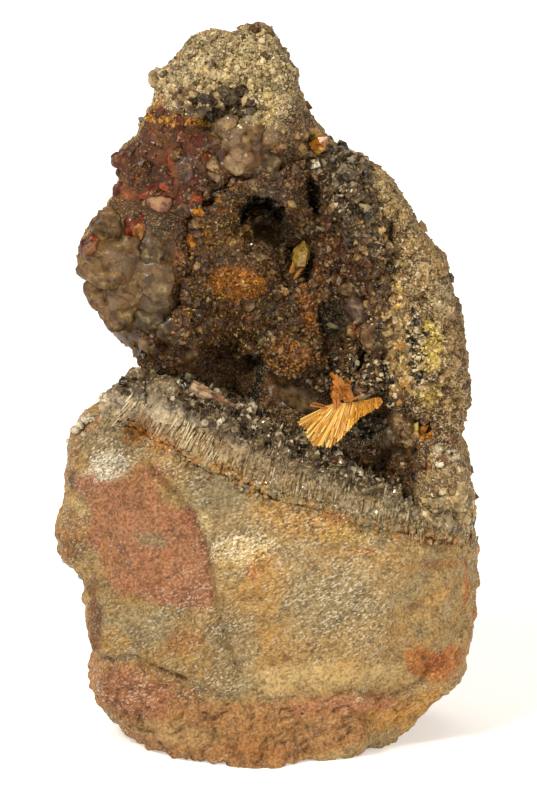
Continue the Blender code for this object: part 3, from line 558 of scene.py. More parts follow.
def makeWallRock():
    rock = fineCopy("wall_rock", "wallRock", wallRock["voxel"], wallRock["relax"])
    points, normals = pointsOf(rock), normalsOf(rock)
    pixels = onPicture(points)
    front = ease(0.1, 0.45, -normals[:, 1])
    ragged = grainAt(points, 1.1, 1, 4)
    lean = math.radians(wallRock["lean"])
    sheets = points @ np.array([
        [math.cos(lean) / 3.5, -math.sin(lean), 0.0], [0.0, 0.0, 1.0],
        [math.sin(lean) / 3.5, math.cos(lean), 0.0],
    ])

    band = fieldAt(pixels, ragged, wallRock["fields"]["band"][0], 6.0) * front
    cleft = ease(0.12, 0.0, np.abs(grainAt(points, 2.2, 17, 3))) * (0.25 + 0.75 * band)
    height = grainAt(points, 3.2, 2, 4) * (wallRock["hackly"] - 0.10 * front)
    height = height + grainAt(sheets, 0.75, 4, 3) * wallRock["sheets"]
    height = height + grainAt(points, 0.9, 3, 2) * (wallRock["lumps"] + 0.14 * band)
    height = height - wallRock["cleft"] * cleft

    crease, creaseSide = lineAt(pixels, wallRock["crease"])
    height -= wallRock["creaseDepth"] * np.exp(-(crease / 4.0) ** 2) * front
    height += np.where(creaseSide > 0, 0.0, wallRock["creaseStep"]) * np.exp(-(crease / 30.0) ** 2) * front
    crack, crackSide = lineAt(pixels, wallRock["crack"])
    deepness = np.interp(pixels[:, 0], [100, 240, 270, 390, 430], [0.6, 0.5, 0.3, 0.35, 0.7])
    crackLine = np.exp(-(crack / (1.8 + 1.2 * np.abs(ragged))) ** 2) * front * deepness
    height -= wallRock["crackDepth"] * crackLine * ease(-0.5, 0.6, ragged + 0.4)
    below = np.where(crackSide < 0, 1.0, 0.0) * ease(0.0, 5.0, crack) * np.exp(-(crack / 36.0) ** 2) * front
    height += np.interp(pixels[:, 0], [180, 300], [0.55, -0.15]) * below

    closing = ease(0.3, 0.8, normals[:, 2]) * ease(12.5, 14.0, points[:, 2])
    movedPoints = points + normals * (height - wallRock["sunk"])[:, None]
    movedPoints[:, 2] += wallRock["closing"] * closing  # it meets the comb
    movedPoints[:, 2] = np.maximum(movedPoints[:, 2], 0.0)  # it stands on its broken foot
    movePoints(rock, movedPoints)

    broad = grainAt(points, 4.5, 6, 3)
    seams = grainAt(sheets, 1.3, 5, 4)
    tone = paintLayers(np.tile(linear("tan"), (len(points), 1)), [
        (ease(0.1, 0.6, broad) * (1.0 - front) * 0.8, "rust"),
        (ease(0.15, 0.7, -broad) * (1.0 - front) * 0.7, "pink"),
        (ease(0.0, 0.6, seams) * 0.6, "khaki"),
        (ease(0.1, 0.7, -seams) * 0.35, "honey"),
    ])
    tone = paintFields(tone, pixels, ragged, front, wallRock["fields"])
    tone = paintPatches(tone, pixels, ragged, front, wallRock["patches"])
    tone = paint(tone, ease(0.1, 0.9, grainAt(points, 0.8, 7, 3)) * 0.3, "brown")
    # umber in the crack and the clefts: painted shade
    tone = paint(tone, crackLine * 0.5 + cleft * 0.35, "umber")
    tone = tone * (1.0 + 0.16 * grainAt(sheets, 0.9, 9, 3) + 0.1 * grainAt(points, 2.4, 10, 2))[:, None]
    # brown along the crease: painted shade
    tone = paint(tone, np.exp(-(crease / 3.0) ** 2) * front * 0.35, "brown")
    # the front painted darker towards its left: painted shade
    setColour(rock, tone * (1.0 - 0.17 * ease(280.0, 190.0, pixels[:, 0]) * front)[:, None])
    flakeGlints = np.full(len(points), 0.35)
    for patch in wallRock["flakeGlints"]:
        flakeGlints = np.maximum(flakeGlints, patchAt(pixels, ragged, patch) * patch[5])
    flakeGlints += 0.25 * seams - 0.35 * zoneAt(pixels, ragged, wallRock["dull"])
    setValue(rock, "flakeGlints", np.clip(flakeGlints, 0.0, 1.0))
    smoothFaces(rock)
    fit(rock, "wall_rock", wallFinish())


makeWallRock()


# Vein rock: the cream cap, the grey lobe on the left, and the walls of the vug

hollows = {  # openings in the vug: outline in the picture, and the colour of the painted shade in them
    "arch": ([(238, 218), (239, 207), (247, 200), (257, 196), (270, 196), (280, 201), (285, 212), (284, 224),
              (276, 222), (270, 212), (260, 208), (250, 212), (243, 224)], "black"),
    "under the arch": ([(250, 214), (262, 210), (276, 224), (290, 222), (294, 236), (286, 250), (268, 248),
                        (254, 236)], "smoke"),
    "slot": ([(306, 180), (314, 178), (319, 190), (318, 204), (323, 214), (315, 215), (309, 203)], "black"),
    "crystal slot": ([(307, 258), (312, 249), (316, 256), (313, 270), (307, 282), (301, 284), (304, 274)],
                     "black"),
    "recess": ([(236, 362), (248, 354), (262, 359), (266, 374), (262, 392), (250, 404), (240, 401),
                (232, 384)],
               "black"),
    "pit": ([(320, 306), (334, 301), (345, 308), (350, 320), (340, 337), (328, 341), (320, 330), (317, 316)],
            "moss"),
    "under the wing": ([(352, 432), (362, 420), (376, 412), (386, 414), (388, 432), (376, 444), (360, 444)],
                       "moss"),
}


hollowEdge, hollowShadeStrength = 1.5, 0.95
# the painted shade of the hollows, as fields
hollowShadeFields = {
    name: (outline, hollowEdge, colour, hollowShadeStrength) for name, (outline, colour) in hollows.items()
}


def hollowAt(pixels):
    return np.max([fieldAt(pixels, 0.0, outline, hollowEdge) for outline, colour in hollows.values()], axis=0)


veinRock = {
    "voxel": 0.165, "relax": 2, "sunk": 0.16, "closing": 0.4, "cleft": 0.35, "redTint": (0.15, 0.3, 0.5),
    "rustyPebbles": ((0.0, "umber"), (0.3, "brown"), (0.55, "violet"), (0.75, "rust"), (0.9, "red")),
    "zones": {
        "cap": [(226, 78, 84, 54, 0), (290, 100, 24, 30, 40)],
        "lobe": [(128, 282, 54, 66, 0), (160, 335, 34, 26, 0)],
        "red": [(172, 160, 50, 58, 0), (205, 200, 26, 24, 0)],
        "pale": [(238, 142, 34, 34, 20), (160, 78, 10, 12, 0), (292, 384, 24, 22, 0), (402, 438, 18, 22, 0)],
        "wall": [(405, 250, 54, 110, -22), (438, 400, 36, 100, 0), (370, 165, 44, 26, 35)],
    },
    "patches": {
        "cap": (225, 75, 86, 60, 0, "stone", 1.0),
        "warm cap": (252, 66, 30, 24, 20, "straw", 0.2),
        "grey cap": (186, 76, 30, 26, -20, "pearl", 0.5),
        "grey top": (182, 48, 20, 10, -20, "khaki", 0.7),
        "grey edge": (284, 60, 12, 34, -20, "khaki", 0.6),
        "pale cap": (230, 84, 30, 12, -10, "cream", 0.5),
        "left seam": (208, 96, 22, 5, -42, "straw", 0.8),
        "right seam": (271, 106, 6, 20, 8, "straw", 0.5),
        "right foot of the cap": (300, 114, 17, 12, 30, "brown", 0.8),
        "pale knob": (159, 78, 9, 11, 0, "milk", 0.9),
        "foot of the knob": (153, 108, 8, 16, 15, "ochre", 0.8),
        "ochre band": (180, 121, 36, 6, 4, "ochre", 0.9),
        "pocket": (226, 104, 30, 14, 6, "shadow", 0.7),
        "rusty lumps": (168, 150, 46, 44, 0, "oxblood", 0.9),
        "rusty foot": (165, 195, 44, 34, 0, "umber", 0.8),
        "glow of the tall one": (172, 162, 7, 21, -3, "rust", 0.8),
        "glow of the first": (198, 143, 11, 9, 30, "red", 0.8),
        "glow of the bar": (191, 199, 18, 9, 14, "red", 0.7),
        "glow of the rim": (152, 193, 15, 9, -10, "red", 0.7),
        "glow at the left": (120, 190, 8, 12, 0, "rust", 0.6),
        "rusty top": (158, 134, 26, 10, 10, "brown", 0.7),
        "grey between": (209, 140, 7, 16, 0, "smoke", 0.8),
        "grey lump": (186, 168, 10, 12, 0, "violet", 0.8),
        "pale quartz": (242, 133, 28, 15, 0, "lichen", 0.7),
        "low quartz": (237, 163, 14, 9, 0, "grey", 0.8),
        "right quartz": (262, 165, 18, 24, 0, "brown", 0.7),
        "red left": (122, 156, 13, 12, 0, "oxblood", 0.5),
        "lobe": (126, 285, 64, 74, 0, "lichen", 1.0),
        "lobe shade": (162, 312, 24, 13, 10, "smoke", 0.8),
        "lobe foot": (160, 338, 34, 20, 20, "smoke", 0.8),
        "lobe top": (140, 240, 36, 26, 0, "smoke", 0.7),
        "red dot": (105, 235, 4, 4, 0, "red", 0.6),
        "low dot": (86, 263, 4, 4, 0, "red", 0.6),
        "dot": (99, 290, 5, 3, 20, "red", 0.45),
        "left wall": (186, 262, 20, 44, 0, "brown", 0.8),
        "violet wall": (186, 222, 12, 14, 0, "violet", 0.8),
        "trickle": (181, 254, 6, 13, 10, "rust", 0.7),
        "right wall": (415, 270, 44, 90, -12, "tan", 0.9),
        "right shoulder": (392, 190, 48, 28, 50, "sand", 0.9),
        "grey wall": (432, 290, 16, 26, 0, "grey", 0.6),
        "brown wall": (392, 232, 12, 24, -20, "brown", 0.6),
        "orange wall": (392, 288, 8, 34, -12, "honey", 0.9),
        "orange core": (390, 278, 4, 16, -12, "orange", 0.7),
        "dark fleck": (414, 262, 10, 8, -10, "shadow", 0.7),
        "speckles": (416, 330, 9, 26, -10, "smoke", 0.7),
        "yellow wall": (429, 345, 12, 26, 0, "sulphur", 0.9),
        "cream wall": (408, 200, 16, 30, -30, "sand", 0.3),
        "cream wall low": (404, 330, 9, 24, 0, "tan", 0.7),
        "pale wall": (440, 300, 10, 20, 0, "pearl", 0.4),
        "yellow foot": (431, 394, 12, 8, -8, "sulphur", 0.9),
        "pale stone": (402, 374, 10, 12, -10, "cream", 0.6),
        "low speckles": (419, 371, 9, 14, 0, "smoke", 0.8),
        "left speckles": (386, 384, 9, 18, -8, "smoke", 0.7),
        "right edge": (454, 375, 14, 60, 0, "olive", 0.7),
        "dark corner": (401, 410, 14, 12, 30, "umber", 0.9),
        "low stones": (400, 436, 16, 16, 0, "grey", 0.8),
        "orange stone": (421, 431, 12, 7, 0, "ochre", 0.9),
        "white stone": (444, 457, 14, 9, 0, "white", 0.8),
        "right foot": (448, 495, 34, 34, 0, "milk", 0.6),
        "red foot": (424, 468, 7, 10, 0, "rust", 0.8),
        "below the sheaf": (362, 444, 30, 14, 10, "shadow", 0.7),
        "left foot": (152, 352, 26, 16, 20, "brown", 0.7),
    },
}


def veinFinish():
    finish, tree, shader, spots = newFinish("veinRock", IOR=1.5, Specular_IOR_Level=0.35, Coat_Roughness=0.25)
    flakeGlints, glassy = attribute(tree, "flakeGlints"), attribute(tree, "glassy")
    rough = sums(tree, "SUBTRACT", 1.0, sums(tree, "MULTIPLY", glassy, 0.7))
    # bright grains painted pearl: painted glints
    glint = useGroup(tree, grainGlint, {
        "Vector": spots, "Scale": 8.5, "Tip": 0.9, "Light": screenColour("pearl"),
        "Color": mottle(tree, spots, 8.5, sums(tree, "MULTIPLY", rough, attribute(tree, "tone", "Alpha"))),
        "Cover": sums(tree, "MULTIPLY", flakeGlints, 0.25), "Shine": sums(tree, "MULTIPLY", flakeGlints, 0.45),
        "Depth": sums(tree, "MULTIPLY", flakeGlints, 0.35),
    })
    tree.links.new(glint["Color"], shader.inputs["Base Color"])
    smoothness = mixNumber(tree, glassy, 0.78, 0.38)
    tree.links.new(mixNumber(tree, glint["Mask"], smoothness, 0.25), shader.inputs["Roughness"])
    tree.links.new(sums(tree, "MULTIPLY", glassy, 0.3), shader.inputs["Coat Weight"])
    grit = place(tree, "TexNoise", {"Vector": spots, "Scale": 6.0, "Detail": 3.0}).outputs["Fac"]
    bumpOf(tree, shader, sums(tree, "MULTIPLY", grit, rough), 0.08, 0.8, Normal=glint["Normal"])
    return finish


def makeVeinRock():
    rock = fineCopy("vein_rock", "veinRock", veinRock["voxel"], veinRock["relax"])
    points, normals = pointsOf(rock), normalsOf(rock)
    pixels = onPicture(points)
    front = ease(0.0, 0.4, -normals[:, 1])
    ragged = grainAt(points, 1.3, 11, 3)
    zones = {name: zoneAt(pixels, ragged, patches) * front for name, patches in veinRock["zones"].items()}
    cap, lobe, red, pale, wall = [zones[name] for name in ("cap", "lobe", "red", "pale", "wall")]
    rest = np.clip(1.0 - sum(zones.values()), 0.0, 1.0)

    cobbles, cobbleDome, cobbleOwn = cobblesAt(points, 2.1, 2)
    pebbles, pebbleDome, pebbleOwn = cobblesAt(points, 1.15, 5)
    grains, _, grainOwn = cobblesAt(points, 0.5, 8)
    hackly, lumps = grainAt(points, 2.6, 12, 4), grainAt(points, 0.8, 13, 2)
    knobs = grainAt(points, 1.1, 16, 2)
    cleft = ease(0.14, 0.0, np.abs(grainAt(points, 1.5, 17, 3))) * (cap + wall)
    height = rest * (hackly * 0.28 + lumps * 0.16 + (grains - 0.6) * 0.15)
    height += lobe * ((cobbleDome - 0.6) * 0.3 + (pebbleDome - 0.6) * 0.2 + lumps * 0.08)
    height += red * ((pebbleDome - 0.6) * 0.5 + lumps * 0.15)
    height += pale * ((pebbleDome - 0.6) * 0.6 + lumps * 0.06)
    height += cap * (hackly * 0.24 + knobs * 0.4 + (grains - 0.6) * 0.2 + lumps * 0.14)
    height += wall * (hackly * 0.34 + knobs * 0.45 + (grains - 0.6) * 0.22 + lumps * 0.16)
    height -= veinRock["cleft"] * cleft
    raised = ease(27.0, 29.0, points[:, 2])  # its foot keeps its size
    movedPoints = points + normals * (height - veinRock["sunk"] * (1.0 - 0.8 * front) * raised)[:, None]
    foot = ease(0.3, 0.8, -normals[:, 2]) * ease(29.0, 27.0, points[:, 2])
    movedPoints[:, 2] -= veinRock["closing"] * foot  # it meets the comb
    movePoints(rock, movedPoints)

    broad = grainAt(points, 4.0, 14, 3)
    tone = paintLayers(np.tile(linear("brown"), (len(points), 1)), [
        (1.0 - front, "olive"),
        (ease(0.05, 0.6, broad) * (1.0 - front) * 0.8, "brown"),
        (ease(0.15, 0.7, -broad) * (1.0 - front) * 0.6, "milk"),
    ])
    tone = paintPatches(tone, pixels, ragged, front, veinRock["patches"])
    tone = paintLayers(tone, [
        (red * 0.4 * ((pebbleOwn > least) & (pebbleOwn < least + 0.2)), name)
        for least, name in veinRock["rustyPebbles"]
    ])
    creases = lobe * ease(0.12, 0.02, cobbles) + pale * ease(0.2, 0.05, pebbles)
    creases = creases + red * ease(0.25, 0.05, pebbles)
    # umber in the creases between the lumps and in the clefts: painted shade
    tone = paint(tone, creases * 0.55 + cleft * 0.6, "umber")
    shade = 0.15 * lobe * (cobbleOwn - 0.5) + 0.4 * red * (pebbleOwn - 0.5)
    shade += 0.4 * (cap + wall + rest) * (grainOwn - 0.5)
    tone = tone * (1.0 + shade)[:, None] * (1.0 - red[:, None] * veinRock["redTint"])
    dusty = (1.0 - lobe) * (1.0 - pale) * (1.0 - 0.8 * cap)
    tone = paint(tone, ease(0.2, 0.9, grainAt(points, 0.9, 15, 3)) * 0.45 * dusty, "shadow")
    # the hollows painted dark: painted shade
    tone = paintFields(tone, pixels, ragged, points[:, 1] < 3.0, hollowShadeFields)
    setColour(rock, tone, 0.8 - 0.65 * red - 0.3 * lobe)
    shiny = 0.3 + 0.6 * (cap + wall) - 0.6 * (lobe + pale) - 0.35 * red
    setValue(rock, "flakeGlints", np.clip(shiny, 0.03, 1.0) * (1.0 - hollowAt(pixels)))
    setValue(rock, "glassy", np.clip(lobe * 0.8 + pale + red * 0.15, 0.0, 1.0))
    smoothFaces(rock)
    fit(rock, "vein_rock", veinFinish())
    return rock


veinPiece = makeVeinRock()


# Crystals: a few small forms, planted many times over

def formOf(name, bm, smooth=False):
    mesh = bpy.data.meshes.new(name)
    bm.to_mesh(mesh)
    bm.free()
    mesh.polygons.foreach_set("use_smooth", [smooth] * len(mesh.polygons))
    points = np.array([vert.co for vert in mesh.vertices])
    mesh.attributes.new("own", "FLOAT", "POINT")  # the crystal's own number, and its kind before the point
    along = mesh.attributes.new("along", "FLOAT", "POINT")  # 0 at its foot, 1 at its end
    along.data.foreach_set("value", points[:, 2].astype(np.float32))
    return {"mesh": mesh, "points": points}


def settle(bm, form, placed, own):  # adds a copy of the form, with its points placed in millimetres
    form["mesh"].vertices.foreach_set("co", (placed * mm).astype(np.float32).ravel())
    form["mesh"].attributes["own"].data.foreach_set("value", np.full(len(placed), own, dtype=np.float32))
    bm.from_mesh(form["mesh"])


def crystalForm(name, shoulder, foot, sides=6):
    bm = bmesh.new()
    bmesh.ops.create_cone(bm, cap_ends=True, segments=sides, radius1=foot, radius2=1.0, depth=shoulder)
    bmesh.ops.translate(bm, verts=bm.verts, vec=(0.0, 0.0, shoulder / 2))
    top = [face for face in bm.faces if face.calc_center_median().z > shoulder * 0.99]
    point = bmesh.ops.poke(bm, faces=top)["verts"][0]
    point.co.z = 1.0
    return formOf(name, bm)


def lumpForm(name, fineness, uneven, smooth=False):
    bm = bmesh.new()
    if fineness:
        bmesh.ops.create_icosphere(bm, subdivisions=fineness, radius=1.0)
    else:
        bmesh.ops.create_uvsphere(bm, u_segments=6, v_segments=4, radius=1.0)
    for vert in bm.verts:
        vert.co *= 1.0 + uneven * noise.noise(vert.co * 1.7)
    return formOf(name, bm, smooth)


forms = {
    "fibre": crystalForm("fibre", 0.88, 0.8, 5), "stub": crystalForm("stub", 0.62, 0.9),
    "grain": crystalForm("grain", 0.35, 0.95, 5), "shard": lumpForm("shard", 1, 0.8),
    "lump": lumpForm("lump", 3, 0.45, True), "chunk": lumpForm("chunk", 0, 0.7),
}


def plant(bm, form, foot, aim, wide, long, turn, own, flat=1.0):
    # a copy of the form, from its foot along its aim
    spin = Vector(aim).to_track_quat("Z", "X").to_matrix() @ Matrix.Rotation(turn, 3, "Z")
    sized = form["points"] * np.array([wide, wide * flat, long])
    settle(bm, form, sized @ np.array(spin).T + np.array(foot), own)


def startBed(piece):
    # a bmesh that holds the piece, whose own surface counts as the foot of the crystals
    bm = bmesh.new()
    bm.verts.layers.float.new("own")
    bm.verts.layers.float.new("along")
    if piece:
        bm.from_mesh(piece.data)
    return bm


def spreadOver(piece, count, rng, weightOf):
    # places all over a piece, with the surface's normals there
    polygons = piece.data.polygons
    centres, normals = readValues(polygons, "center", 3) / mm, readValues(polygons, "normal", 3)
    weights = readValues(polygons, "area") * weightOf(centres, normals)
    picks = rng.choice(len(weights), size=count, p=weights / weights.sum())
    return centres[picks] + rng.normal(0.0, 0.05, (count, 3)), normals[picks]


def isBuried(place, normal, neighbours, reach=0.75):
    start = Vector(place) + Vector(normal) * 0.02
    return any(skin.ray_cast(start, Vector(normal), reach)[0] is not None for skin in neighbours)


def tipped(aim, amount, rng):
    turned = np.array(aim) + rng.normal(0.0, amount, 3)
    return turned / np.linalg.norm(turned)


def anyTurn(rng):
    return rng.uniform(0, 6.3)


nodeSkins = {name: skinOf(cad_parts[name]) for name in ("wall_rock", "vein_rock", "comb_quartz")}


def nearestHit(skins, x, y):  # the nearest place that a pixel's line of sight meets, and its normal
    hits = [skin.ray_cast(cameraPlace, lineOfSight(x, y)) for skin in skins]
    hits = [hit for hit in hits if hit[0] is not None]
    return min(hits, key=lambda hit: hit[3])[:2] if hits else (None, None)


def onNodes(x, y, *names):
    spot, facing = nearestHit([nodeSkins[name] for name in names], x, y)
    return (spot, facing) if spot is None else (np.array(spot), np.array(facing))


# Comb quartz: the band of milky fibres with smoky tips between the two rocks

combQuartz = {
    "voxel": 0.16, "relax": 1, "crystals": 5250, "blocks": 420, "seamGrains": 1130, "fur": 260, "skirt": 880,
    "lumps": [  # smoky lumps of the left end: place in the picture and half width
        (110, 406, 0.7), (116, 394, 0.7), (125, 384, 0.75), (137, 377, 0.75), (150, 371, 0.75),
        (163, 370, 0.7),
        (176, 373, 0.65), (123, 402, 0.7), (137, 393, 0.75), (153, 387, 0.75), (169, 385, 0.65),
        (184, 386, 0.5),
    ],
    "contact": [
        (60, 418), (108, 418), (132, 424), (156, 440), (180, 451), (204, 465), (228, 474), (252, 484),
        (276, 496),
        (300, 502), (324, 508), (348, 518), (372, 525), (396, 530), (420, 534), (476, 542),
    ],
    "thickness": ((90, 46), (150, 60), (228, 64), (276, 68), (320, 62), (380, 50), (430, 42), (470, 34)),
    "crest": [(186, 376), (204, 382), (228, 387), (252, 399), (276, 418), (300, 429), (336, 443), (348, 457),
              (372, 472), (396, 485), (420, 502), (462, 518)],
    "lean": ((-12.0, 40.0), (-4.0, 26.0), (3.0, 12.0), (12.0, 4.0)),  # x, and degrees to the right of upright
    "warmth": (0.96, 0.91, 0.83),
    "patches": {
        "grey left end": (106, 407, 14, 12, 0, "haze", 0.7),
        "frosty edge": (82, 418, 26, 13, -40, "pearl", 0.7),
        "white fibres": (160, 414, 44, 12, 18, "frost", 0.4),
        "dark crest": (250, 446, 60, 5, 28, "shadow", 0.5),
        "dark crest right": (345, 484, 70, 5, 17, "shadow", 0.6),
        "grey right": (360, 503, 110, 20, 16, "khaki", 0.55),
        "grey middle": (262, 462, 50, 16, 26, "grey", 0.4),
        "rust right": (440, 545, 34, 8, 14, "rust", 0.4),
        "rust stain": (232, 473, 20, 6, 25, "honey", 0.5),
        "rust left": (150, 434, 26, 6, 30, "orange", 0.7),
        "brown right": (352, 500, 30, 6, 15, "brown", 0.3),
    },
}


def crystalFinish(name, glint, shine, light, grime=0.35, fine=6.0, tip=0.8, **constants):
    finish, tree, shader, spots = newFinish(name, **constants)
    # bright grains painted the light colour: painted glints
    sparks = useGroup(tree, grainGlint, {
        "Vector": spots, "Color": mottle(tree, spots, fine, grime), "Scale": 6.0, "Shine": shine,
        "Depth": 0.5,
        "Cover": sums(tree, "MULTIPLY", attribute(tree, "tone", "Alpha"), glint), "Tip": tip,
        "Light": screenColour(light),
    })
    dull = mixNumber(tree, sparks["Mask"], shader.inputs["Roughness"].default_value, 0.12)
    for output, label in ((sparks["Color"], "Base Color"), (dull, "Roughness"), (sparks["Normal"], "Normal")):
        tree.links.new(output, shader.inputs[label])
    return finish


def leanAt(x):
    return np.radians(np.interp(x, *zip(*combQuartz["lean"])))


def combShare(places):  # 0 at the contact with the wall rock, 1 at the crest
    seen = onPicture(places)
    rise, side = lineAt(seen, combQuartz["contact"])
    share = np.where(side > 0, -rise, rise) / np.interp(seen[:, 0], *zip(*combQuartz["thickness"]))
    return share + (0.3 - share) * ease(-1.0, 3.0, places[:, 1])  # no dark crest at the back


def combBody():
    body = fineCopy("comb_quartz", "combBody", combQuartz["voxel"], combQuartz["relax"])
    points, normals = pointsOf(body), normalsOf(body)
    lean = leanAt(points[:, 0])
    across = points[:, 0] * np.cos(lean) - points[:, 2] * np.sin(lean)
    upward = points[:, 0] * np.sin(lean) + points[:, 2] * np.cos(lean)
    ribs = grainAt(np.stack([across / 0.26, points[:, 1] / 0.26, upward / 2.2], axis=1), 1.0, 21, 2)
    movedPoints = points + normals * (0.14 * ribs - 0.1)[:, None]
    movedPoints[:, 2] -= 0.3 * ease(0.2, 0.6, -normals[:, 2])  # it meets the wall rock
    movePoints(body, movedPoints)
    setValue(body, "own", np.clip(0.55 + 0.5 * ribs, 0.1, 0.75))
    return body


def plantComb(bm, body, rng):
    # fibres all over the band, and stubs on its crest
    def exposed(centres, facing):
        return 0.35 + 1.0 * ease(0.3, 0.7, facing[:, 2]) + 0.6 * ease(0.2, 0.6, -facing[:, 1])

    spots, facings = spreadOver(body, combQuartz["crystals"], rng, exposed)
    shares = combShare(spots) + rng.normal(0.0, 0.12, len(spots))
    for spot, facing, share in zip(spots, facings, shares):
        if isBuried(spot, facing, (nodeSkins["vein_rock"], nodeSkins["wall_rock"])):
            continue
        lean = leanAt(spot[0])
        growth = np.array((math.sin(lean), -0.12, math.cos(lean)))
        turn, own = anyTurn(rng), rng.random()
        if spot[0] < -6.4 and share > 0.4 and rng.random() < 0.97:
            continue  # the smoky lumps stand here
        if float(facing @ growth) > 0.5 or (share > 0.55 and facing[1] < -0.3):
            wide, long = 0.09 + 0.24 * rng.random() ** 1.5, rng.uniform(0.5, 1.1)
            if facing[0] > 0.4:
                wide, long = wide * 0.6, long * 0.4  # small ones down the right side
            foot = spot - growth * long * 0.7
            plant(bm, forms["stub"], foot, tipped(growth, 0.4, rng), wide, long, turn, own)
            continue
        wide = rng.uniform(0.035, 0.085)
        long = rng.uniform(0.8, 1.7) if spot[0] < -5.0 else rng.uniform(1.2, 2.8)
        bottom = nodeSkins["wall_rock"].ray_cast(Vector(spot - facing * 0.5), -Vector(growth), 4.0)
        down = long * 0.6 if bottom[0] is None else min(long * 0.6, bottom[3] + 0.1)
        foot = spot - facing * wide * 0.6 - growth * down
        plant(bm, forms["fibre"], foot, tipped(growth, 0.06, rng), wide, long * 0.3 + down, turn, own)


def plantLumps(bm, rng):
    # smoky lumps at the left end, with small glassy faces over each
    for x, y, wide in combQuartz["lumps"]:
        spot, facing = onNodes(x, y, "comb_quartz", "wall_rock", "vein_rock")
        growth = tipped((-0.3, -0.5, 0.8), 0.3, rng)
        plant(bm, forms["lump"], spot - facing * wide * 0.6, growth, wide, wide * rng.uniform(1.0, 1.2),
              anyTurn(rng), 1.0 + rng.random() * 0.8, 0.9)
        for _ in range(5):
            tiny = rng.uniform(0.08, 0.2)
            off = rng.normal(0.0, 1.0, 3) * np.array([1.0, 0.6, 1.0])
            off *= wide * 0.75 / np.linalg.norm(off)
            plant(bm, forms["shard"], spot - facing * wide * 0.4 + off, off, tiny, tiny, anyTurn(rng),
                  1.0 + rng.random() * 0.98)


def plantBlocks(bm, rng):
    # blocky ends along the crest
    across, down = zip(*combQuartz["crest"])
    for _ in range(combQuartz["blocks"]):
        x = rng.uniform(across[0], across[-1])
        y = np.interp(x, across, down) + rng.uniform(-2.0, np.interp(x, [186, 300, 462], [44, 30, 12]))
        spot, facing = onNodes(x, y, "comb_quartz", "vein_rock")
        wide, long = 0.12 + 0.24 * rng.random() ** 1.5, rng.uniform(0.4, 0.9)
        turn, own = anyTurn(rng), rng.random()
        if spot is not None:
            aim = tipped((0.2, -0.4, 0.9), 0.35, rng)
            plant(bm, forms["stub"], spot - aim * long * 0.7, aim, wide, long, turn, 1.0 + own * 0.98)


def plantSeam(bm, rng):
    # grains along the contact with the wall rock, and larger ones that close the seam itself
    across, down = zip(*combQuartz["contact"])
    for index in range(combQuartz["seamGrains"]):
        filling = index % 3 == 0
        x = rng.uniform(across[0], across[-1])
        y = np.interp(x, across, down) + rng.normal(0.0, 1.5 if filling else 4.5)
        spot, facing = onNodes(x, y, "comb_quartz", "wall_rock")
        if spot is not None:
            wide = rng.uniform(0.08, 0.24) * (1.5 if filling else 1.0)
            forward = (0.0, -0.15 if filling or x < 215 else 0.0, 0.0)
            foot = spot - facing * wide * 0.2 + forward
            plant(bm, forms["shard"], foot, tipped(facing, 0.6, rng), wide, wide, anyTurn(rng),
                  2.0 + rng.random() * 0.98)


def plantFur(bm, rng):
    # small white crystals round the left end
    for _ in range(combQuartz["fur"]):
        share = rng.random()
        x, y = 66 + 40 * share + rng.normal(0.0, 4.0), 432 - 30 * share + rng.normal(0.0, 5.0)
        spot, facing = onNodes(x, y, "comb_quartz", "wall_rock")
        if spot is not None and spot[1] < -1.5:
            aim, wide = tipped(facing, 0.4, rng), rng.uniform(0.1, 0.28)
            plant(bm, forms["chunk"], spot + (-0.1, -0.05, 0.3), aim, wide, wide, anyTurn(rng),
                  3.3 + 0.69 * rng.random())


def plantSkirt(bm, rng):
    # fibres from the wall rock's edge up over the band
    across, down = zip(*combQuartz["contact"])
    for _ in range(combQuartz["skirt"]):
        x = rng.uniform(112, across[-1])
        left = float(ease(215.0, 195.0, x))  # the lumps above shade the band here
        y = np.interp(x, across, down) + rng.uniform(-1.0, 5.0) - 10.0 * left
        spot, facing = onNodes(x, y, "wall_rock", "comb_quartz")
        turn, own, long = anyTurn(rng), rng.random(), rng.uniform(0.7, 1.6) * (1.0 if x < 320 else 0.6)
        if spot is not None:
            lean = leanAt(spot[0])
            aim = tipped((math.sin(lean), 0.2 - 0.3 * left, math.cos(lean)), 0.08, rng)
            foot = spot + (0.0, -0.05 - 0.25 * left, -0.15)
            plant(bm, forms["fibre"], foot, aim, rng.uniform(0.035, 0.085), long * (1.0 + 0.2 * left), turn,
                  4.0 + 0.99 * own)


